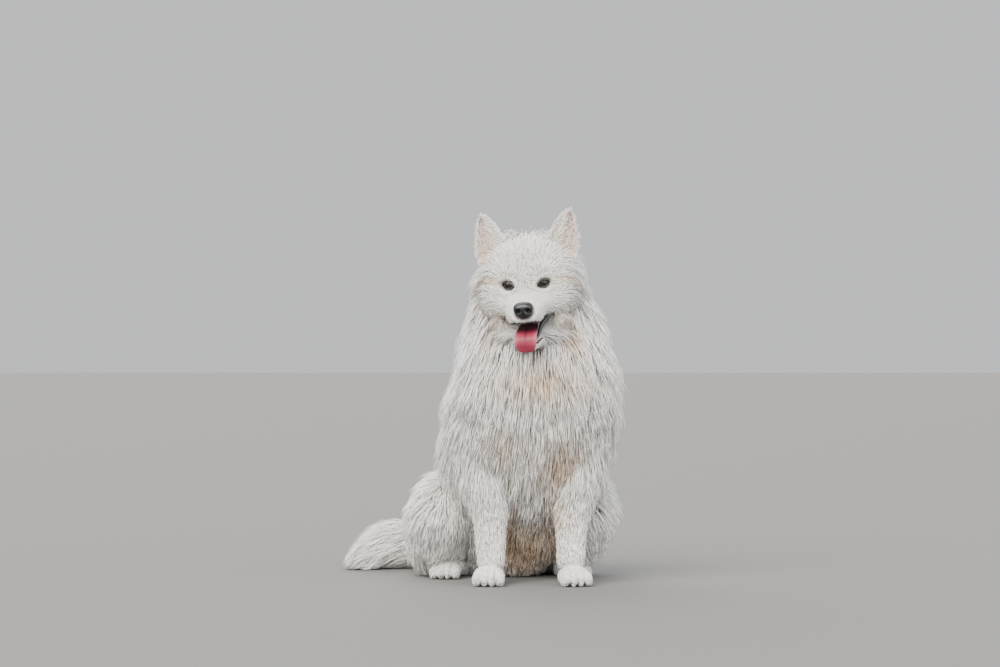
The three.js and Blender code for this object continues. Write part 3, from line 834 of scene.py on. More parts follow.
# Black lip leather, kept moist: it draws the mouth's edge.
LEATHER = Finish("black_lip_leather", "#15120F", roughness=0.38, coat=0.35, grain=0.9, relief=0.12)
# Lids: the same leather at the opening, fading to pale skin where they meet the fur.
LEATHER_ON_SKIN = Finish(
    "lid_leather_in_pale_skin", "#DDD5CA", (("dark", "#13100E"),), roughness=0.42, coat=0.25
)
# Nose leather: pebbled, cool and damp, so it shines along its top.
NOSE = Finish("wet_nose_leather", "#0D0C10", roughness=0.45, coat=0.35, grain=1.5, relief=0.35)
# Tongue: crimson pink, fine papillae, a wet film; painted shade in its groove and at its back under
# the upper lip, paler at its rim.
TONGUE = Finish(
    "wet_tongue",
    "#8A213B",
    (("groove", "#641427"), ("rim", "#C06A76"), ("shade_under_lip", "#3A0A14")),
    roughness=0.58,
    coat=0.12,
    scatter=0.1,
    grain=0.9,
    relief=0.2,
)
# The eye under its clear cornea: a nearly black pupil in a dark brown iris, white only at the rim.
EYE_BALL = Finish(
    "dark_brown_eye",
    "#150A05",
    (("pupil", "#020202"), ("white", "#8A7A6C")),
    roughness=0.1,
    coat=0.15,
)
# Worn horn of the claws: a dull grey-brown that tells toes from fur.
CLAW_HORN = Finish("dark_claw_horn", "#6B5D50", roughness=0.4)
# The studio floor: matt pale paper, lit evenly to the horizon.
FLOOR = Finish("matt_paper_floor", "#72716F", roughness=0.9)


def build_object(
    name: str, mesh: Mesh, finish: Finish, uv: np.ndarray | None = None
) -> bpy.types.Object:
    """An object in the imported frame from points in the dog's frame.

    Args:
        name: The object's name.
        mesh: Its points, faces and point attributes.
        finish: Its material.
        uv: One coordinate for each corner, for the map OFBake.

    Returns:
        The object, linked to the scene.
    """
    data = bpy.data.meshes.new(name)
    points = mesh.points * MM + SHIFT
    corners = np.concatenate([f.ravel() for f in mesh.faces]).astype(np.int32)
    sizes = np.concatenate([np.full(len(f), f.shape[1]) for f in mesh.faces])
    data.vertices.add(len(points))
    data.vertices.foreach_set("co", points.astype(np.float32).ravel())
    data.loops.add(len(corners))
    data.loops.foreach_set("vertex_index", corners)
    data.polygons.add(len(sizes))
    starts = np.concatenate([[0], np.cumsum(sizes)[:-1]]).astype(np.int32)
    data.polygons.foreach_set("loop_start", starts)
    data.polygons.foreach_set("use_smooth", np.ones(len(sizes), bool))
    data.update(calc_edges=True)
    for key, values in mesh.fields.items():
        layer = data.attributes.new(key, "FLOAT", "POINT")
        layer.data.foreach_set("value", np.asarray(values, np.float32))
    if uv is not None:
        data.uv_layers.new(name="OFBake").data.foreach_set("uv", uv.astype(np.float32).ravel())
    data.materials.append(finish.material())
    made = bpy.data.objects.new(name, data)
    bpy.context.scene.collection.objects.link(made)
    return made


@dataclass(frozen=True)
class Blob:
    """A soft patch of cream in the coat, seen from the front: a stain, and painted shade as well
    for the patches under the chin and between the forelegs.

    Attributes:
        x: Its middle across.
        z: Its middle in height.
        wide: Its reach across.
        high: Its reach in height.
        share: How much colour it brings.
        near: Lowest and highest depth behind the forepaws where it is found.
    """

    x: float
    z: float
    wide: float
    high: float
    share: float
    near: tuple[float, float] = (-400.0, 60.0)

    def on(self, points: np.ndarray) -> np.ndarray:
        """The share of cream at the points, fading as the bell curve of the distance."""
        across = (points[:, 0] - self.x) / self.wide
        up = (points[:, 2] - self.z) / self.high
        within = (points[:, 1] > self.near[0]) & (points[:, 1] < self.near[1])
        return self.share * np.exp(-(across**2 + up**2)) * within


# Beside the mouth, on the bib, by the eyes and brow, on the breast, the forelegs and the belly. The
# bib's patch, under the chin, and the belly's, between the forelegs, are painted shade as well as
# stain.
BISCUIT_AND_SHADE = (
    Blob(66, 534, 17, 32, 0.8),
    Blob(-68, 534, 15, 28, 0.5),
    Blob(20, 458, 66, 20, 0.75),
    Blob(-76, 622, 14, 9, 0.55),
    Blob(62, 625, 14, 10, 0.6),
    Blob(-14, 640, 9, 6, 0.3),
    Blob(-41, 344, 22, 32, 0.45),
    Blob(58, 308, 38, 56, 0.6),
    Blob(-40, 150, 18, 90, 0.5, (-60, 200)),
    Blob(58, 172, 22, 74, 0.5, (-60, 200)),
    Blob(0, 110, 46, 66, 0.75, (70, 190)),
)


def biscuit_and_shade(points: np.ndarray) -> np.ndarray:
    """The share of cream at points of the dog: stain, with painted shade under the chin and between
    the forelegs.
    """
    return np.clip(sum(blob.on(points) for blob in BISCUIT_AND_SHADE), 0, 0.9)


@dataclass(frozen=True)
class Ear:
    """One ear: a rounded triangle bent into a cup that opens forwards, its root in the head.

    Attributes:
        way: -1 for the dog's right ear, 1 for its left.
        height: From where it leaves the head to its tip.
        half_width: Half of its width there.
        bulge: How far its back stands out.
        thick: How thick the cup's wall is.
        root: How far it goes down into the head.
    """

    way: int
    height: float = 86.0
    half_width: float = 35.0
    bulge: float = 16.0
    thick: float = 5.0
    root: float = 22.0

    @property
    def place(self) -> Place:
        """Its frame within the head's frame."""
        lean = {-1: 12.0, 1: 17.0}[self.way]
        return Place((self.way * 70.0, 62.0, 54.0), (-6.0, self.way * lean, self.way * 8.0))

    def skin(self) -> Mesh:
        """The closed shell: its width narrows to the tip as a circle's edge times a straight
        taper; the back is an arc, the cup a shallower one. The fields tell how its fur lies.
        """
        rising = np.sin(np.linspace(0, np.pi / 2, 26))[:-1] * self.height * 0.96
        z = np.concatenate([[-self.root], rising])
        grid_z, grid_a = np.meshgrid(z, circle(56), indexing="ij")
        t = np.maximum(grid_z / self.height, 0)
        narrow = np.sqrt(1 - t**2) * (1 - 0.3 * t)
        bulge = self.bulge * narrow**0.8
        thick = self.thick * (1 - 0.4 * t)
        hollow = np.where(grid_z < 0, 0, bulge - thick)
        cup = grid_a >= np.pi
        x = np.cos(grid_a) * self.half_width * narrow
        y = np.where(cup, -np.sin(grid_a) * hollow - thick / 2, np.sin(grid_a) * bulge)
        ends = np.array([[0, 4, -self.root - 2.0], [0, 0, self.height * 0.965]])
        mesh = tube(np.stack([x, y, grid_z], -1), *ends)
        inside = np.zeros(len(mesh.points))
        inside[: cup.size] = (cup * np.clip(np.abs(np.sin(grid_a)) * 1.8 - 0.25, 0, 1)).ravel()
        local = mesh.points
        share = np.clip(local[:, 2] / self.height, 0, 1)
        inner = inside * np.clip(-local[:, 0] * self.way / 20 + 0.15, 0, 1)
        across = local[:, 0] * 0.006 + inner * self.way * 0.7
        lie = HEAD.turned(self.place.turned(np.stack([across, share * 0, share * 0 + 1], -1)))
        mesh.points = HEAD.out(self.place.out(local))
        mesh.fields = {
            "lie_x": lie[:, 0],
            "lie_y": lie[:, 1],
            "lie_z": lie[:, 2],
            "rise": 5 + 6 * inner,
            "length": 17 - 7 * share + 3 * inside + 14 * inner,
            "width": np.full(len(local), 1.3),
            "density": np.where(local[:, 2] < -12, 0.0, 0.3 - 0.12 * inside),
            "region": np.full(len(local), float(REGIONS.index(Region.EARS))),
            # Painted shade: browner inside the cup towards its base.
            "cream_and_shade": inside * np.clip(0.7 - share, 0.1, 1) * 0.55,
            "rose": inside * (0.55 + 0.2 * share) * (1 - inner),
            "mouth": np.zeros(len(local)),
        }
        return mesh


REGIONS = list(Region)


@dataclass
class Skin:
    """The dog's one skin, and how the coat grows on it.

    Attributes:
        voxel: Size of the cells in which the forms grow together, in millimetres.
        blend: Distance over which the coats of two forms mix, in millimetres.
        groove_width: Half of the width of the grooves between the toes.
        groove_depth: Their depth.
    """

    voxel: float = 4.0
    blend: float = 15.0
    groove_width: float = 3.2
    groove_depth: float = 6.0

    def grown_together(self) -> Mesh:
        """All forms of flesh as one closed surface, its joins smoothed."""
        shells = [form.shell() for form in FLESH]
        rough = build_object("flesh", joined(shells), SKIN)
        remesh = rough.modifiers.new("grow", "REMESH")
        remesh.mode = "VOXEL"
        remesh.voxel_size = self.voxel * MM
        smooth = rough.modifiers.new("ease", "SMOOTH")
        smooth.factor = 0.5
        smooth.iterations = 4
        whole = rough.evaluated_get(bpy.context.evaluated_depsgraph_get()).to_mesh()
        points = np.empty(len(whole.vertices) * 3, np.float32)
        whole.vertices.foreach_get("co", points)
        corners = np.empty(len(whole.loops), np.int32)
        whole.loops.foreach_get("vertex_index", corners)
        sizes = np.empty(len(whole.polygons), np.int32)
        whole.polygons.foreach_get("loop_total", sizes)
        starts = np.concatenate([[0], np.cumsum(sizes)[:-1]])
        kinds = [n for n in (3, 4) if (sizes == n).any()]
        faces = [corners[starts[sizes == n][:, None] + np.arange(n)] for n in kinds]
        bpy.data.objects.remove(rough)
        return Mesh((points.reshape(-1, 3).astype(float) - SHIFT) / MM, faces)

    def sockets(self, points: np.ndarray) -> np.ndarray:
        """Points before the eyes and behind the nose pad, pushed back to make room for both."""
        made = points.copy()
        floor, pad_back = 4.0, -83.0
        for way in WAYS:
            local = in_eye(made, way)
            within = ramp(np.hypot(local[:, 0] / 12.5, local[:, 2] / 9.0), 1.5, 1.0)
            front = local[:, 1] < floor
            local[:, 1] += np.where(front, within * (floor - local[:, 1]), 0)
            near = front & (within > 0) & (np.abs(local[:, 1]) < 30)
            made[near] = from_eye(local, way)[near]
        head = HEAD.into(made)
        pad = ramp(np.hypot(head[:, 0] / 19, (head[:, 2] + 41) / 17), 1.35, 1.0)
        head[:, 1] += pad * np.maximum(pad_back - head[:, 1], 0)
        made = np.where((pad > 0)[:, None] & (head[:, 1:2] < -60), HEAD.out(head), made)
        made[:, 2] = np.maximum(made[:, 2], FLOOR_GAP)
        return made

    def toes(self, mesh: Mesh, normals: np.ndarray) -> None:
        """Presses a groove between each two toes, from the paw's front a third of the way back.

        Args:
            mesh: The skin; its points are moved.
            normals: Its outward directions.
        """
        for paw in PAWS:
            local = paw.place.into(mesh.points)
            ahead = ramp(-local[:, 1] / paw.length, 0.28, 0.53)
            ahead *= (np.abs(local[:, 0]) < paw.width * 1.1) & (local[:, 1] > -1.4 * paw.length)
            ahead *= local[:, 2] < paw.height + 8
            for share in (-0.4, 0.0, 0.4):
                line = np.exp(-(((local[:, 0] - share * paw.width) / self.groove_width) ** 2))
                mesh.points -= normals * (self.groove_depth * line * ahead)[:, None]
        mesh.points[:, 2] = np.maximum(mesh.points[:, 2], FLOOR_GAP)

    def coats(self, mesh: Mesh, normals: np.ndarray) -> None:
        """Gives each point the coat of the forms it lies on, mixed by how near they are.

        The ruff is trimmed a little, and the flanks' hair drapes longer over the thighs.

        Args:
            mesh: The skin; its fields are filled.
            normals: Its outward directions.
        """
        points = mesh.points
        ones = np.ones(len(points))
        form_size, shortest = 60.0, 5.0
        levels, lies, rest = [], [], []
        for form in FLESH:
            level, depth, along = form.near(points)
            own = form.coat
            size = form_size if isinstance(form, Form) else float(np.mean(form.radii))
            levels.append((level - 1) * size)
            lies.append(unit(along + np.array(own.lie)))
            long = np.maximum(depth * own.length, shortest)
            rest.append(np.stack([depth, long, ones * own.width, ones / own.spacing**2], -1))
        gaps = np.array(levels)
        weight = np.exp(-(gaps - gaps.min(0)) / self.blend)
        weight /= weight.sum(0)
        lie = np.einsum("fn,fni->ni", weight, np.array(lies))
        depth, length, width, density = np.einsum("fn,fni->in", weight, np.array(rest))
        owner = weight.argmax(0)
        mesh.fields = {
            "lie_x": lie[:, 0],
            "lie_y": lie[:, 1],
            "lie_z": lie[:, 2],
            "rise": depth,
            "length": length,
            "width": width,
            "density": density,
            "region": self.regions(points, normals, owner),
            # Cream stains, with painted shade in the patches under the chin and between the
            # forelegs.
            "cream_and_shade": biscuit_and_shade(points),
            "rose": np.zeros(len(points)),
            "mouth": np.zeros(len(points)),
        }
        trunk = owner == FLESH.index(TRUNK)
        ruff = ramp(points[:, 2], 440, 560) * trunk
        drape = np.exp(-(((points[:, 2] - 265) / 70) ** 2)) * ramp(np.abs(normals[:, 0]), 0.3, 0.8)
        drape *= trunk & (points[:, 1] > 40)
        mesh.fields["length"] = length * (1 - 0.22 * ruff) * (1 + 0.55 * drape)
        self.face(mesh, normals)

    @staticmethod
    def bend_lie(values: dict[str, np.ndarray], towards: np.ndarray, share: np.ndarray) -> None:
        """Turns the coat's lie towards other directions by a share."""
        for i, axis in enumerate("xyz"):
            values[f"lie_{axis}"] = values[f"lie_{axis}"] * (1 - share) + towards[:, i] * share

    def cheeks(self, values: dict[str, np.ndarray], head: np.ndarray) -> None:
        """Lengthens the cheeks' and the throat's hair into the ruff, outwards and down."""
        x, y, z = head.T
        # In the head's frame, x is out from its middle, y back from the eyes and z up from them.
        crown = np.isin(values["region"], [REGIONS.index(r) for r in (Region.HEAD, Region.FACE)])
        side = ramp(np.abs(x), 40, 70) * ramp(y, -16, 18) * ramp(z, 60, 30) * ramp(z, -150, -120)
        side *= crown
        throat = ramp(z, -78, -92) * ramp(y, -74, -48)
        throat *= (np.abs(x) < 84) & (y < 70) & crown
        out = np.stack([np.sign(x) * 0.75, x * 0 + 0.25, x * 0 - 0.75], -1)
        self.bend_lie(values, HEAD.turned(unit(out)), side * 0.7)
        down = np.stack([x * 0.006, x * 0 + 0.2, x * 0 - 1], -1)
        self.bend_lie(values, HEAD.turned(unit(down)), throat * 0.8)
        values["length"] = values["length"] + 40 * np.maximum(side, throat)
        values["rise"] = values["rise"] + np.maximum(11 * side, 7 * throat)

    def regions(self, points: np.ndarray, normals: np.ndarray, owner: np.ndarray) -> np.ndarray:
        """The number of the coat piece of each point, by its form and where it is."""
        named = np.array([REGIONS.index(form.coat.region) for form in FLESH])[owner]
        trunk = named == REGIONS.index(Region.BACK)
        head = named == REGIONS.index(Region.HEAD)
        legs = named == REGIONS.index(Region.LEGS)
        high = points[:, 2] > 515
        front = normals[:, 1] < -0.35
        side = np.abs(normals[:, 0]) > 0.55
        named[trunk & side] = REGIONS.index(Region.FLANKS)
        named[trunk & front] = REGIONS.index(Region.CHEST)
        named[trunk & front & (points[:, 2] < 330)] = REGIONS.index(Region.BELLY)
        named[trunk & high] = REGIONS.index(Region.RUFF)
        named[head & (HEAD.into(points)[:, 1] < 8)] = REGIONS.index(Region.FACE)
        named[legs & (points[:, 2] < 62)] = REGIONS.index(Region.PAWS)
        return named.astype(float)

    def face(self, mesh: Mesh, normals: np.ndarray) -> None:
        """Bares the eyes, the nose and the mouth, and shortens the hair towards them."""
        values = mesh.fields
        head = HEAD.into(mesh.points)
        self.cheeks(values, head)
        short = np.minimum(self.by_eyes(mesh), self.by_nose(values, head))
        short = self.by_mouth(mesh, head, HEAD.unturned(normals), short)
        values["length"] = np.minimum(values["length"], np.maximum(short * 1.8, 3.0))
        values["rise"] = np.minimum(values["rise"], short)
        muzzle = ramp(head[:, 1], -6, -36)
        front = (values["region"] == REGIONS.index(Region.FACE)) | (head[:, 1] < 8)
        front &= (np.abs(head[:, 0]) < 95) & (head[:, 2] > -120)
        values["width"] = np.where(front, 1.45 - 0.55 * muzzle, values["width"])
        thicker = values["density"] * (1.15 + 1.0 * muzzle)
        values["density"] = np.where(front, thicker, values["density"])

    def by_eyes(self, mesh: Mesh) -> np.ndarray:
        """Bares the eyes and parts the hair around them; gives how high it may stand there."""
        short = np.full(len(mesh.points), NO_LIMIT)
        values = mesh.fields
        half_long, half_high, behind = 13.0, 9.0, 12.0
        for way in WAYS:
            local = in_eye(mesh.points, way)
            ring = np.hypot(local[:, 0] / half_long, local[:, 2] / half_high)
            front = local[:, 1] < behind
            values["density"] = np.where(front & (ring < 1.06), 0, values["density"])
            short = np.where(front, np.minimum(short, 1.6 + np.maximum(ring - 1, 0) * 8.0), short)
            away = from_eye(local * (1.2, 1, 1.2), way) - from_eye(local, way)
            self.bend_lie(values, unit(away), np.clip(2.3 - ring, 0, 1) * front)
        return short

    @staticmethod
    def by_nose(values: dict[str, np.ndarray], head: np.ndarray) -> np.ndarray:
        """Bares the nose; gives how high the hair may stand around it."""
        middle, reach = (0, -100, -41), (20, 16, 18)
        pad = np.linalg.norm((head - middle) / reach, axis=1)
        values["density"] = np.where(pad < 1.02, 0, values["density"])
        return 1.5 + np.maximum(pad - 1, 0) * 9.0

    @staticmethod
    def by_mouth(
        mesh: Mesh, head: np.ndarray, normals: np.ndarray, short: np.ndarray
    ) -> np.ndarray:
        """Bares and darkens the mouth's inside, with its dark lining and painted shade deeper in,
        and shortens the hair towards the lips.

        Args:
            mesh: The skin; its fields are changed.
            head: Its points in the head's frame.
            normals: Its outward directions in that frame.
            short: How high the hair may stand by the eyes and the nose.

        Returns:
            How high it may stand.
        """
        values = mesh.fields
        within_hair, lip_width = 7.0, 3.0
        gap = Mouth().depth_in(head + normals * within_hair)
        rim = np.full(len(head), NO_LIMIT)
        close = np.flatnonzero(np.linalg.norm(head - (0, -50, -80), axis=1) < 110)
        lip_points = np.concatenate([Lips().upper_line(), Lips().lower_line()])
        gaps = ((mesh.points[close][:, None] - lip_points[None]) ** 2).sum(-1)
        rim[close] = np.sqrt(gaps.min(1))
        ahead = ramp(head[:, 1], -22, -38)
        near_lip = 1.5 + np.maximum(rim - lip_width, 0) * 0.5
        inner = np.maximum(Mouth().lining(head, normals), (rim < lip_width) * ahead)
        # The mouth's dark lining, and painted shade: dark from the mouth's edge inwards.
        values["mouth"] = np.maximum(np.clip(gap / 5.0, 0, 1), inner)
        values["density"] = np.where((gap > 0) | (inner > 0.5), 0, values["density"])
        return np.where(ahead > 0, np.minimum(short, near_lip + (1 - ahead) * 30), short)


@dataclass(frozen=True)
class Mouth:
    """The open mouth, as the room between an upper and a lower line in the head's frame.

    Attributes:
        upper: Pairs of y and z along the muzzle's rim.
        lower: Pairs of y and z along the lower jaw's rim.
        half_width: Half of the mouth's width.
        back: Where it ends behind the lips' corners.
    """

    upper: tuple[tuple[float, float], ...] = (
        (-130, -66),
        (-80, -71),
        (-58, -71),
        (-34, -65),
        (-8, -55),
        (8, -57),
    )
    lower: tuple[tuple[float, float], ...] = (
        (-130, -122),
        (-84, -112),
        (-60, -102),
        (-34, -88),
        (-8, -66),
        (8, -60),
    )
    half_width: float = 58.0
    back: float = 8.0

    def depth_in(self, head: np.ndarray) -> np.ndarray:
        """How far points of the head's frame are within the mouth, less than 0 outside it."""
        high = np.interp(head[:, 1], *np.array(self.upper).T)
        low = np.interp(head[:, 1], *np.array(self.lower).T)
        room = np.minimum(high - head[:, 2], head[:, 2] - low)
        room = np.minimum(room, self.half_width - np.abs(head[:, 0]))
        return np.minimum(room, self.back - head[:, 1])

    @staticmethod
    def lining(head: np.ndarray, normals: np.ndarray) -> np.ndarray:
        """1 on the mouth's floor between the lower lips and on its roof between the upper ones.

        Args:
            head: Points in the head's frame.
            normals: Outward directions in that frame.

        Returns:
            1 or 0 for each point.
        """
        out = np.abs(head[:, 0])
        left = LIP_POINTS // 2
        top, low = (HEAD.into(line)[left:] for line in (Lips().upper_line(), Lips().lower_line()))
        roof_x, roof_z = (np.interp(head[:, 1], top[:, 1], top[:, i]) for i in (0, 2))
        floor_x, floor_z = (np.interp(head[:, 1], low[:, 1], low[:, i]) for i in (0, 2))
        within = (head[:, 1] > -104) & (head[:, 1] < 14) & (head[:, 2] < -46)
        floor = (out < floor_x - 0.5) & (head[:, 2] > floor_z - 9) & (normals[:, 2] > 0)
        roof = (out < roof_x - 1) & (head[:, 2] < roof_z + 14) & (normals[:, 2] < -0.1)
        between = (head[:, 2] > floor_z - 9) & (head[:, 2] < roof_z + 14)
        return (within & between & (floor | roof)).astype(float)


def normals_of(mesh: Mesh) -> np.ndarray:
    """Outward directions at the points: the faces' diagonals crossed, summed at their corners."""
    total = np.zeros_like(mesh.points)
    for faces in mesh.faces:
        corner = mesh.points[faces]
        last = corner[:, -1] if faces.shape[1] == 4 else corner[:, 0]
        cross = np.cross(corner[:, 2] - corner[:, 0], last - corner[:, 1])
        for i in range(faces.shape[1]):
            for axis in range(3):
                total[:, axis] += np.bincount(faces[:, i], cross[:, axis], len(total))
    return unit(total)


@dataclass(frozen=True)
class Roots:
    """Where tufts grow.

    Attributes:
        at: Points on the skin.
        uv: Their places on the skin's unwrap.
        values: What the skin's fields are there, by name.
        normal: The skin's outward directions there.
    """

    at: np.ndarray
    uv: np.ndarray
    values: dict[str, np.ndarray]
    normal: np.ndarray

    def only(self, chosen: np.ndarray) -> "Roots":
        """The roots with these numbers."""
        values = {name: v[chosen] for name, v in self.values.items()}
        return Roots(self.at[chosen], self.uv[chosen], values, self.normal[chosen])


def unwrap(skin: bpy.types.Object) -> tuple[np.ndarray, np.ndarray]:
    """Unwraps the skin into the map OFBake.

    Args:
        skin: The skin's object.

    Returns:
        The point numbers of its triangles, and their corners' places on the map.
    """
    data = skin.data
    data.uv_layers.new(name="OFBake")
    bpy.context.view_layer.objects.active = skin
    skin.select_set(True)
    bpy.ops.object.mode_set(mode="EDIT")
    bpy.ops.mesh.select_all(action="SELECT")
    bpy.ops.uv.smart_project(angle_limit=1.15, island_margin=0.001)
    bpy.ops.object.mode_set(mode="OBJECT")
    data.calc_loop_triangles()
    count = len(data.loop_triangles)
    points, loops = np.empty(count * 3, np.int32), np.empty(count * 3, np.int32)
    data.loop_triangles.foreach_get("vertices", points)
    data.loop_triangles.foreach_get("loops", loops)
    uv = np.empty(len(data.loops) * 2, np.float32)
    data.uv_layers["OFBake"].data.foreach_get("uv", uv)
    return points.reshape(-1, 3), uv.reshape(-1, 2)[loops].reshape(-1, 3, 2)


def scattered(mesh: Mesh, normals: np.ndarray, triangles: np.ndarray, uv: np.ndarray) -> Roots:
    """Roots spread over the skin as its density field asks, from even seeded steps.

    Args:
        mesh: The skin with its fields.
        normals: Its outward directions.
        triangles: Point numbers of its triangles.
        uv: The triangles' corners on the unwrap.

    Returns:
        The roots.
    """
    rng = np.random.default_rng(SEED)
    corner = mesh.points[triangles]
    cross = np.cross(corner[:, 1] - corner[:, 0], corner[:, 2] - corner[:, 0])
    area = np.linalg.norm(cross, axis=1) / 2
    wanted = area * mesh.fields["density"][triangles].min(1)
    soles = 3.0
    wanted *= corner[:, :, 2].mean(1) > soles
    total = np.cumsum(wanted)
    count = int(total[-1])
    steps = (np.arange(count) + rng.random(count)) / count * total[-1]
    chosen = np.minimum(np.searchsorted(total, steps), len(total) - 1)
    one, two = np.sqrt(rng.random(count)), rng.random(count)
    share = np.stack([1 - one, one * (1 - two), one * two], -1)
    picked = triangles[chosen]

    def mix(values: np.ndarray) -> np.ndarray:
        return np.einsum("nc,nc...->n...", share, values[picked])

    values = {name: mix(v) for name, v in mesh.fields.items() if name != "region"}
    values["region"] = mesh.fields["region"][picked[:, 0]]
    places = np.einsum("nc,nci->ni", share, uv[chosen])
    return Roots(mix(mesh.points), places, values, unit(mix(normals)))


@dataclass(frozen=True)
class Tufts:
    """Tapered, flattened tufts of hair with three sides.

    Attributes:
        shares: Where each ring is along the tuft.
        widths: How wide each ring is, as a share of the tuft's width.
        lock: How many tufts lean together into a lock.
        gather: How far their tips lean together.
        stray: How far a tuft strays from the lie, as a share of its length.
        droop: How far a tuft sinks by its own weight, as a share of its length.
        under: Share of tufts that are short, wide underhair.
        patch: Size of a tuft's patch on the map OFBake.
    """

    shares: tuple[float, ...]
    widths: tuple[float, ...]
    lock: int
    gather: float
    stray: float = 0.09
    droop: float = 0.2
    under: float = 0.3
    patch: float = 0.003

    def grown(self, roots: Roots, seed: int) -> tuple[Mesh, np.ndarray]:
        """The tufts at the roots.

        Each tuft's line runs from its root along the lie by its length, rises to the coat's
        depth fast at first and then slower, falls with the square of the share along it, and
        leans to its lock. Its section is a flat triangle.

        Args:
            roots: Where they grow.
            seed: For what differs between them.

        Returns:
            Their mesh, and the corners' places on the skin's unwrap.
        """
        rng = np.random.default_rng(seed)
        count = len(roots.at)
        lie = np.stack([roots.values[f"lie_{axis}"] for axis in "xyz"], -1)
        normal = roots.normal
        along = unit(lie - np.einsum("ni,ni->n", lie, normal)[:, None] * normal)
        side = np.cross(along, normal)
        length = roots.values["length"] * (0.72 + 0.5 * rng.random(count))
        under = rng.random(count) < self.under
        rise = roots.values["rise"] * np.where(under, 0.5, 0.55 + 0.4 * np.sqrt(rng.random(count)))
        leader = self.leaders(roots.at)
        lean = (roots.at[leader] - roots.at) * self.gather
        bend = np.clip(rng.normal(size=(count, 2)), -1.6, 1.6)
        shared = np.clip(rng.normal(size=(count, 2)), -1.3, 1.3)[leader]
        drift = (bend * self.stray + shared * self.stray * 1.3) * length[:, None]
        width = roots.values["width"] * np.where(under, 1.7, 0.75 + 0.45 * rng.random(count))
        section = ((0.5, 0.0), (-0.5, 0.0), (0.0, 0.35))
        fall = np.array([0.0, 0.0, -self.droop])
        root_depth = 1.0

        def line(s: float) -> np.ndarray:
            up = rise * (1 - (1 - s) ** 1.8) + (drift[:, 1] * s * 0.45) - root_depth * (s == 0)
            up -= length * 0.17 * s**3
            ahead = length * s
            made = roots.at + along * ahead[:, None] + normal * up[:, None]
            made += side * (drift[:, 0] * s**1.3)[:, None]
            return made + lean * s**1.2 + fall * (length * s**2)[:, None]

        rings = []
        for s, share in zip(self.shares, self.widths):
            middle = line(s)
            for across, out in section:
                wide = (width * share)[:, None]
                rings.append(middle + side * across * wide + normal * out * wide)
        rings.append(line(1.0))
        points = np.stack(rings, 1)
        points[..., 2] = np.maximum(points[..., 2], 0.6 + 2 * rng.random((count, 1)))
        return self.as_mesh(points, roots)

    def leaders(self, at: np.ndarray) -> np.ndarray:
        """For each root, the number of the nearest root that leads a lock."""
        heads = np.arange(0, len(at), self.lock)
        nearest = np.empty(len(at), int)
        batch = 4000
        for start in range(0, len(at), batch):
            part = at[start : start + batch]
            gaps = (part**2).sum(1)[:, None] - 2 * part @ at[heads].T + (at[heads] ** 2).sum(1)
            nearest[start : start + batch] = heads[gaps.argmin(1)]
        return nearest

    def as_mesh(self, points: np.ndarray, roots: Roots) -> tuple[Mesh, np.ndarray]:
        """The tufts' points as closed faces, with their fields and places on the unwrap."""
        count, each = points.shape[:2]
        rows = len(self.shares)
        quads = grid_faces(rows, 3)
        top = (rows - 1) * 3
        ends = np.array([[2, 1, 0], *[[top + i, top + (i + 1) % 3, each - 1] for i in range(3)]])
        starts = (np.arange(count) * each)[:, None, None]
        faces = [(quads[None] + starts).reshape(-1, 4), (ends[None] + starts).reshape(-1, 3)]
        share = np.append(np.repeat(self.shares, 3), 1.0)
        across = np.append(np.tile([-0.5, 0.5, 0.0], rows), 0.0)
        spread = np.stack([across, share - 0.5], -1) * self.patch
        places = roots.uv[:, None] + spread[None]
        corners = np.concatenate([f.ravel() for f in faces])
        fields = {
            "cream_and_shade": np.repeat(roots.values["cream_and_shade"], each),
            "rose": np.repeat(roots.values["rose"], each),
            # Painted shade: greyer towards each tuft's root, deep in the coat.
            "root": np.tile(np.clip(0.8 - 1.6 * share, 0, 1), count),
        }
        return Mesh(points.reshape(-1, 3), faces, fields), places.reshape(-1, 2)[corners]


LONG_TUFTS = Tufts((0.0, 0.4, 0.76), (0.8, 1.0, 0.62), lock=34, gather=0.34)
MIDDLE_TUFTS = Tufts((0.0, 0.4, 0.76), (0.8, 1.0, 0.62), lock=14, gather=0.3)
SHORT_TUFTS = Tufts((0.0, 0.55), (0.9, 0.8), lock=6, gather=0.2, stray=0.07)
TUFTS_OF = {
    Region.FACE: SHORT_TUFTS,
    Region.EARS: MIDDLE_TUFTS,
    Region.HEAD: MIDDLE_TUFTS,
    Region.PAWS: SHORT_TUFTS,
    Region.LEGS: MIDDLE_TUFTS,
}


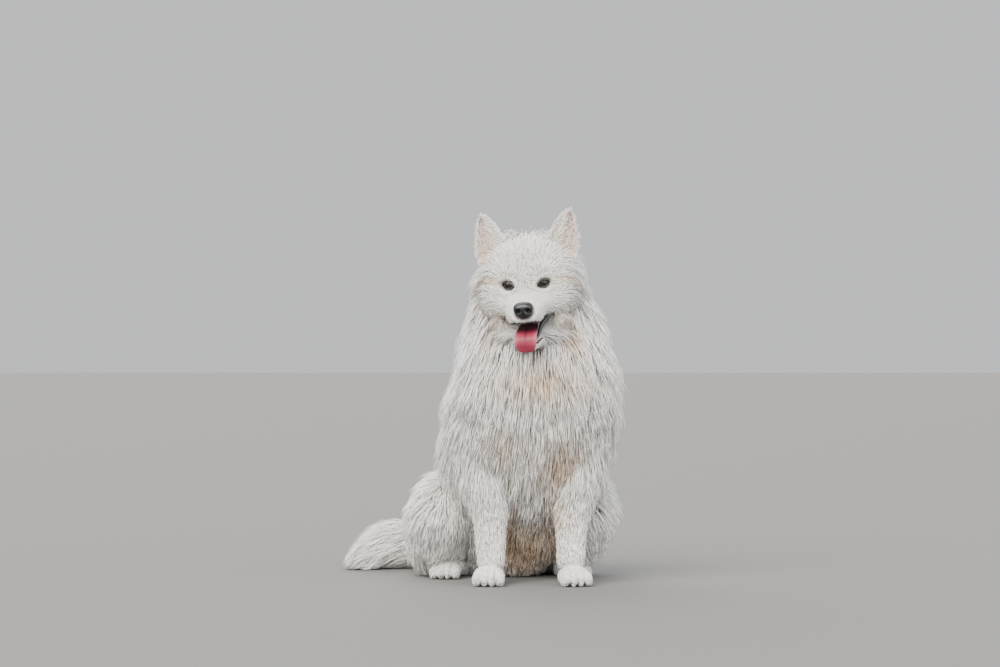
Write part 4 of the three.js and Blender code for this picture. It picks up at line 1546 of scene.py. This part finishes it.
@dataclass
class Eye:
    """One eye: the ball, and the black-rimmed lids about it.

    Attributes:
        way: -1 for the dog's right eye, 1 for its left.
        pupil: Angle from the front to the pupil's edge, in degrees.
        iris: Angle to the iris's edge.
        half_length: Half of the lids' opening, from corner to corner.
        upper: How high the upper lid arches.
        lower: How low the lower lid sags.
    """

    way: int
    pupil: float = 19.0
    iris: float = 50.0
    half_length: float = 11.4
    upper: float = 6.3
    lower: float = 5.0

    def build(self) -> None:
        """Makes both pieces."""
        name = SIDE_NAMES[self.way]
        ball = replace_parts(build_object(f"eyeball_{name}", self.ball(), EYE_BALL), f"eye_{name}")
        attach(ball, "root")
        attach(build_object(f"eyelids_{name}", self.lids(), LEATHER_ON_SKIN), "root")

    def ball(self) -> Mesh:
        """A sphere with its pole to the front; pupil and white go by the angle from it."""
        grid_t, grid_a = globe(3, 59, 56)
        r = EYE_RADIUS
        rings = np.stack(
            [np.sin(grid_t) * np.cos(grid_a), -np.cos(grid_t), np.sin(grid_t) * np.sin(grid_a)], -1
        )
        mesh = tube(rings * r, np.array([0, -r, 0.0]), np.array([0, r, 0.0]))
        angle = np.degrees(np.append(grid_t.ravel(), [0, np.pi]))
        mesh.fields = {
            "pupil": ramp(angle, self.pupil, self.pupil - 3),
            "white": ramp(angle, self.iris, self.iris + 6) * 0.8,
        }
        return mesh.moved(from_eye(mesh.points, self.way))

    def lids(self) -> Mesh:
        """A ring about an almond opening: thin at the eye, over the ball, down into the skin.

        The almond is an oval with an arched upper and a flatter lower edge, and its inner corner
        dips. Each loop of the ring is the almond scaled, set on a sphere about the eye, or flat
        behind it; a loop has its scale, its radius or depth, and how dark it is.
        """
        a = circle(72)
        height = np.where(np.sin(a) > 0, self.upper, self.lower)
        x, z = np.cos(a) * self.half_length, np.sin(a) * np.abs(np.sin(a)) ** 0.45 * height
        z -= 1.5 * np.exp(-(((x * self.way + 11.0) / 3.0) ** 2))
        loops = (
            (0.95, 12.0, 1.0),
            (0.99, 13.1, 1.0),
            (1.07, 13.7, 1.0),
            (1.17, 14.0, 1.0),
            (1.28, 13.7, 0.8),
            (1.36, 13.0, 0.4),
        )
        rings, dark = [], []
        for scale, radius, shade in loops:
            left = radius**2 - (x * scale) ** 2 - (z * scale) ** 2
            y = -np.sqrt(np.maximum(left, 0)) + np.maximum(-left, 0) * 0.02
            rings.append(np.stack([x * scale, y, z * scale], -1))
            dark.append(np.full(len(a), shade))
        for scale, y in ((1.4, 4.0), (1.2, 4.0), (0.95, -6.0)):
            rings.append(np.stack([x * scale, np.full(len(a), y), z * scale], -1))
            dark.append(np.full(len(a), 0.5))
        points = np.array(rings).reshape(-1, 3)
        rows = len(rings)
        faces = grid_faces(rows + 1, len(a)) % (rows * len(a))
        return Mesh(from_eye(points, self.way), [faces[:, ::-1]], {"dark": np.concatenate(dark)})


@dataclass
class Nose:
    """The nose pad, its nostrils and its cleft.

    Attributes:
        middle: Its middle, in the head's frame.
        reach: Its reach across, to the front and up.
    """

    middle: tuple[float, float, float] = (0.0, -92.0, -41.0)
    reach: tuple[float, float, float] = (20.0, 15.5, 17.0)

    def build(self) -> None:
        """Makes the pad."""
        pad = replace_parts(build_object("nose_pad", self.pad(), NOSE), "nose")
        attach(pad, "root")

    def pad(self) -> Mesh:
        """A boxy ellipsoid, wider above, dented by nostrils, their side slits and the cleft."""
        grid_t, grid_a = globe(2.5, 90, 96)

        def full(v: np.ndarray, power: float) -> np.ndarray:
            return np.sign(v) * np.abs(v) ** power

        x = full(np.sin(grid_t), 0.72) * full(np.cos(grid_a), 0.8) * self.reach[0]
        z = full(np.sin(grid_t), 0.72) * full(np.sin(grid_a), 0.8) * self.reach[2]
        y = -full(np.cos(grid_t), 0.8) * self.reach[1]
        x = x * (1 + 0.14 * z / self.reach[2])
        front = np.clip(-y / self.reach[1] + 0.25, 0, 1)
        for way in WAYS:
            hole = ((x * way - 9.6) / 4.0) ** 2 + ((z - 1.0) / 3.6) ** 2
            slit = ((x * way - 15.2) / 4.6) ** 2 + ((z + 3.6 + (x * way - 15) * 0.35) / 1.7) ** 2
            wing = ((x * way - 12.5) / 6.0) ** 2 + ((z - 5.0) / 4.0) ** 2
            y = y + front * (8.5 * np.exp(-hole) + 4.5 * np.exp(-slit) - 1.6 * np.exp(-wing))
        cleft = np.exp(-((x / 1.3) ** 2)) * np.clip((4 - z) / 10, 0, 1)
        y = y + front * cleft * 2.2
        rings = np.stack([x, y, z], -1) + np.array(self.middle)
        ends = np.array([[0, y[0].mean(), 0], [0, self.reach[1], 0]]) + np.array(self.middle)
        return tube(HEAD.out(rings), *HEAD.out(ends))


@dataclass
class Lips:
    """The black upper lip on the muzzle's rim, and the black fold at the mouth's left corner.

    Attributes:
        corner: Where both meet on the left side, in the head's frame.
        upper: Radius of the upper lip's edge.
        hidden: How many of the upper line's points the right cheek's hair covers.
        fold: The fold from the left corner down beside the tongue: places in the head's frame
            and radii. It is set for the camera's side; from the dog's left side it crosses the
            gap between the jaws.
    """

    corner: tuple[float, float, float] = (59.0, -8.0, -55.0)
    upper: float = 1.4
    hidden: int = 24
    fold: tuple[tuple[float, float, float, float], ...] = (
        (59.9, -28.4, -55.6, 1.2),
        (51.9, -31.2, -60.0, 2.0),
        (44.5, -34.0, -65.2, 2.8),
        (37.4, -37.9, -71.1, 3.9),
        (30.7, -43.0, -78.0, 4.8),
        (26.4, -49.0, -86.5, 4.4),
        (23.8, -54.7, -94.2, 3.6),
        (21.4, -61.3, -101.0, 2.4),
        (19.8, -67.6, -107.0, 1.0),
    )

    def build(self) -> None:
        """Makes the upper lip and the fold."""
        fold = smooth_rows(np.array(self.fold), np.linspace(0, 1, LIP_POINTS))
        lips = [
            self.cord(self.upper_line()[self.hidden :], self.upper),
            self.cord(HEAD.out(fold[:, :3]), fold[:, 3]),
        ]
        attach(build_object("lips", joined(lips), LEATHER), "root")

    def upper_line(self) -> np.ndarray:
        """The middle line of the upper lip, along the muzzle's rim."""
        return self.line(SKULL, (0.05, 0.46), (-56, -34), (0, -99, -66))

    def lower_line(self) -> np.ndarray:
        """The lower jaw's rim, where the mouth's lining ends; no lip is made on it."""
        return self.line(JAW, (0.03, 0.75), (34, 26), (0, -80, -107))

    def line(
        self,
        form: Form,
        shares: tuple[float, float],
        angles: tuple[float, float],
        front: tuple[float, float, float],
    ) -> np.ndarray:
        """The line of a lip from the right corner round the front to the left corner.

        Args:
            form: The muzzle or the lower jaw.
            shares: Where along the form the lip starts and ends.
            angles: The angle of the rim about the form's axis there, in degrees.
            front: The middle of the lip, in the head's frame.

        Returns:
            Points of the line.
        """
        u = np.linspace(shares[1], shares[0], 9)
        a = np.radians(np.interp(u, shares, angles))
        within = 0.45
        left = form.point(u, a, within)
        right = form.point(u, np.pi - a, within)
        ends = HEAD.out(np.array([self.corner, (-self.corner[0], *self.corner[1:]), front]))
        row = np.concatenate([ends[1:2], right, ends[2:3], left[::-1], ends[0:1]])
        return smooth_rows(row, np.linspace(0, 1, LIP_POINTS))

    @staticmethod
    def cord(line: np.ndarray, radius: float | np.ndarray) -> Mesh:
        """A round edge along a line, with one radius or one for each point, thin at its ends."""
        u = np.linspace(0, 1, 120)
        middle = smooth_rows(line, u)
        along = unit(np.gradient(middle, axis=0))
        side = unit(np.cross(np.array([0, 0, 1.0]), along))
        up = np.cross(along, side)
        cosine, sine = (turn(circle(12))[:, None] for turn in (np.cos, np.sin))
        radius = np.interp(u, np.linspace(0, 1, len(line)), np.broadcast_to(radius, len(line)))
        size = (radius * np.clip(np.sin(np.pi * u) * 2.2, 0.3, 1))[:, None, None]
        rings = middle[:, None] + size * (side[:, None] * cosine + up[:, None] * sine)
        return tube(rings, middle[0], middle[-1])


@dataclass
class Tongue:
    """The tongue, out over the lower lip and hanging at its tip.

    Attributes:
        form: Its shape; no coat grows on it, though a form names one.
    """

    form: Form = Form(
        stations=(
            (0, -16, -84, 19, 5, 6, 0),
            (0, -50, -88, 21, 5, 5, 0),
            (0, -82, -91, 22, 4.5, 4.5, 0),
            (0, -98, -97, 22.5, 4, 4.5, 0),
            (-0.5, -103, -108, 22, 3.5, 4, 0),
            (-1, -102, -118, 18.5, 3, 3.5, 0),
        ),
        facing=(0, -1, 1),
        domes=(0.4, 0.45),
        coat=HEAD_COAT,
        place=HEAD,
    )

    def build(self) -> None:
        """Makes the tongue."""
        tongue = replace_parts(build_object("tongue_flesh", self.flesh(), TONGUE), "tongue")
        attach(tongue, "root")

    def flesh(self) -> Mesh:
        """The form with a groove pressed along its middle and its rims turned up a little."""
        mesh = self.form.shell(rows=80, columns=64)
        local = HEAD.into(mesh.points)
        tall = unit(np.array([0, -1.0, 1.0]))
        steps = 60
        samples = self.form.frames(np.linspace(0, 1, steps))[0]
        nearest = ((local[:, None] - samples[None]) ** 2).sum(-1).argmin(1)
        above = np.clip((local - samples[nearest]) @ tall / 3 + 0.4, 0, 1)
        share = nearest / (steps - 1)
        groove = np.exp(-((local[:, 0] / 1.9) ** 2)) * above * np.clip(1.25 - share * 0.8, 0, 1)
        edge = np.clip(np.abs(local[:, 0]) / 22, 0, 1) ** 5
        local -= tall * (groove * 2.4 - edge * 1.8)[:, None]
        fields = {
            # Painted shade in the groove, on the tongue's upper side.
            "groove": np.exp(-((local[:, 0] / 3.4) ** 2)) * above * np.clip(1.2 - share, 0.25, 0.9),
            "rim": edge * 0.75,
            # Painted shade at the tongue's back, under the upper lip.
            "shade_under_lip": ramp(share, 0.52, 0.16) * 0.95,
        }
        return Mesh(HEAD.out(local), mesh.faces, fields)


def claws(paw: Paw) -> Mesh:
    """The claws of a paw: cones that bend down towards their tips, flattened at the floor."""
    lowest = 0.5
    made = []
    a = circle(10)
    for at, spread in paw.toe_places():
        root = at + np.array([np.sin(np.radians(spread)), -1, 0]) * paw.length * 0.3 + (0, 0, -4)
        u = np.linspace(0, 0.96, 7)
        radius = 3.4 * (1 - u**1.6)
        middle = np.stack([u * 0, 6 - 17 * u, -3.2 * u**2], -1)
        rings = np.stack(
            [
                middle[:, None, 0] + 0.75 * radius[:, None] * np.cos(a),
                middle[:, None, 1] + 0 * a,
                middle[:, None, 2] + radius[:, None] * np.sin(a),
            ],
            -1,
        )
        local = Place(tuple(root), (26.0, 0.0, spread))
        rings = paw.place.out(local.out(rings))
        ends = paw.place.out(local.out(np.array([[0, 7.0, 0], [0, -11.2, -3.2]])))
        for points in (rings, ends):
            points[..., 2] = np.maximum(points[..., 2], lowest)
        made.append(tube(rings, *ends))
    return joined(made)


@dataclass
class Dog:
    """The whole dog: skin, coat, eyes, nose, lips, tongue and claws."""

    skin: Skin = field(default_factory=Skin)

    def build(self) -> None:
        """Makes every piece in turn."""
        mesh, normals, body = self.build_skin()
        triangles, uv = unwrap(body)
        roots = scattered(mesh, normals, triangles, uv)
        LOG.info("skin: %d points, %d tufts in all", len(mesh.points), len(roots.at))
        self.build_coat(roots)
        for way in WAYS:
            Eye(way).build()
        Nose().build()
        Lips().build()
        Tongue().build()
        horn = joined([claws(paw) for paw in PAWS])
        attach(build_object("claws", horn, CLAW_HORN), "root")

    def build_skin(self) -> tuple[Mesh, np.ndarray, bpy.types.Object]:
        """Makes the skin, which stands for all of the solids' flesh.

        Returns:
            Its mesh with the coat's fields, its outward directions, and its object.
        """
        body = self.skin.grown_together()
        body.points = self.skin.sockets(body.points)
        self.skin.toes(body, normals_of(body))
        self.skin.coats(body, normals_of(body))
        mesh = joined([body, *[Ear(way).skin() for way in WAYS]])
        bare = Mesh(mesh.points, mesh.faces, {n: mesh.fields[n] for n in ("cream_and_shade", "rose", "mouth")})
        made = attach(build_object("skin", bare, SKIN), "root")
        sided = ("ear", "foreleg", "forepaw", "hindleg", "hindpaw")
        limbs = [f"{part}_{side}" for part in sided for side in SIDE_NAMES.values()]
        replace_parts(made, "head", "neck", "torso", "tail", "lower_jaw", *limbs)
        return mesh, normals_of(mesh), made

    @staticmethod
    def build_coat(roots: Roots) -> None:
        """Makes one piece of tufts for each region of the coat."""
        for number, region in enumerate(REGIONS):
            chosen = np.flatnonzero(roots.values["region"] == number)
            kind = TUFTS_OF.get(region, LONG_TUFTS)
            mesh, places = kind.grown(roots.only(chosen), SEED + number)
            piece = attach(build_object(region.value, mesh, FUR, places), "root")
            triangles = sum(len(f) * (f.shape[1] - 2) for f in mesh.faces)
            LOG.info("%s: %d tufts, %d triangles", region.value, len(chosen), triangles)


@dataclass(frozen=True)
class Lamp:
    """Even light from one side, as from a very large softbox far off.

    Attributes:
        name: The lamp's name.
        towards: Where it stands, as a direction from the dog.
        power: In watts per square metre.
        spread: Angle that it fills, in degrees; the wider, the softer its shadows.
        tint: sRGB hex colour.
    """

    name: str
    towards: tuple[float, float, float]
    power: float
    spread: float
    tint: str = "#FFFFFF"

    def build(self) -> None:
        """Sets the lamp up."""
        data = bpy.data.lights.new(self.name, "SUN")
        data.angle = np.radians(self.spread)
        data.energy = self.power
        data.color = linear(self.tint)[:3]
        lamp = bpy.data.objects.new(self.name, data)
        lamp.rotation_euler = Vector(self.towards).to_track_quat("Z", "Y").to_euler()
        bpy.context.scene.collection.objects.link(lamp)


@dataclass
class Studio:
    """The camera where the photograph was taken from, a pale floor and soft lamps.

    Attributes:
        eye: Where the camera stands, in the dog's frame.
        pitch: The camera's turn about X, 90 for level, in degrees.
        lens: Its focal length in millimetres, on a sensor 36 wide.
        floor: The floor's width in metres; it ends beyond what the eye can tell.
        air: sRGB hex colour of the light from all round.
        air_strength: Its strength.
        lamps: The lamps.
    """

    eye: tuple[float, float, float] = (-63.5, -4820.0, 461.0)
    pitch: float = 90.645
    lens: float = 84.67
    floor: float = 160.0
    air: str = "#C9CACC"
    air_strength: float = 1.25
    lamps: tuple[Lamp, ...] = (
        Lamp("key", (-0.5, -0.85, 0.9), 6.0, 50.0, "#FFFBF4"),
        Lamp("fill", (0.8, -0.8, 0.35), 3.0, 80.0, "#F8FAFF"),
        Lamp("back", (-0.3, 0.9, 0.9), 2.4, 60.0),
    )

    def build_camera(self) -> None:
        """Sets the camera up at the height of the dog's breast, 4.8 m before its forepaws."""
        data = bpy.data.cameras.new("camera")
        data.sensor_width = 36.0
        data.lens = self.lens
        camera = bpy.data.objects.new("camera", data)
        camera.location = Vector(np.array(self.eye) * MM + SHIFT)
        camera.rotation_euler = (np.radians(self.pitch), 0, 0)
        bpy.context.scene.collection.objects.link(camera)
        bpy.context.scene.camera = camera

    def build(self) -> None:
        """Lays the floor, hangs the lamps and colours the air."""
        corners = np.array([[-1, -1, 0], [1, -1, 0], [1, 1, 0], [-1, 1, 0]]) * self.floor / 2 / MM
        sheet = Mesh(corners - SHIFT / MM, [np.array([[0, 1, 2, 3]])])
        build_object("floor", sheet, FLOOR)
        for lamp in self.lamps:
            lamp.build()
        world = bpy.data.worlds.new("air")
        world.use_nodes = True
        background = world.node_tree.nodes["Background"]
        background.inputs["Color"].default_value = linear(self.air)
        background.inputs["Strength"].default_value = self.air_strength
        bpy.context.scene.world = world


def main() -> None:
    """Builds the studio and the dog."""
    logging.basicConfig(level=logging.INFO, format="%(message)s")
    studio = Studio()
    studio.build_camera()
    Dog().build()
    studio.build()


if __name__ == "__main__":
    main()
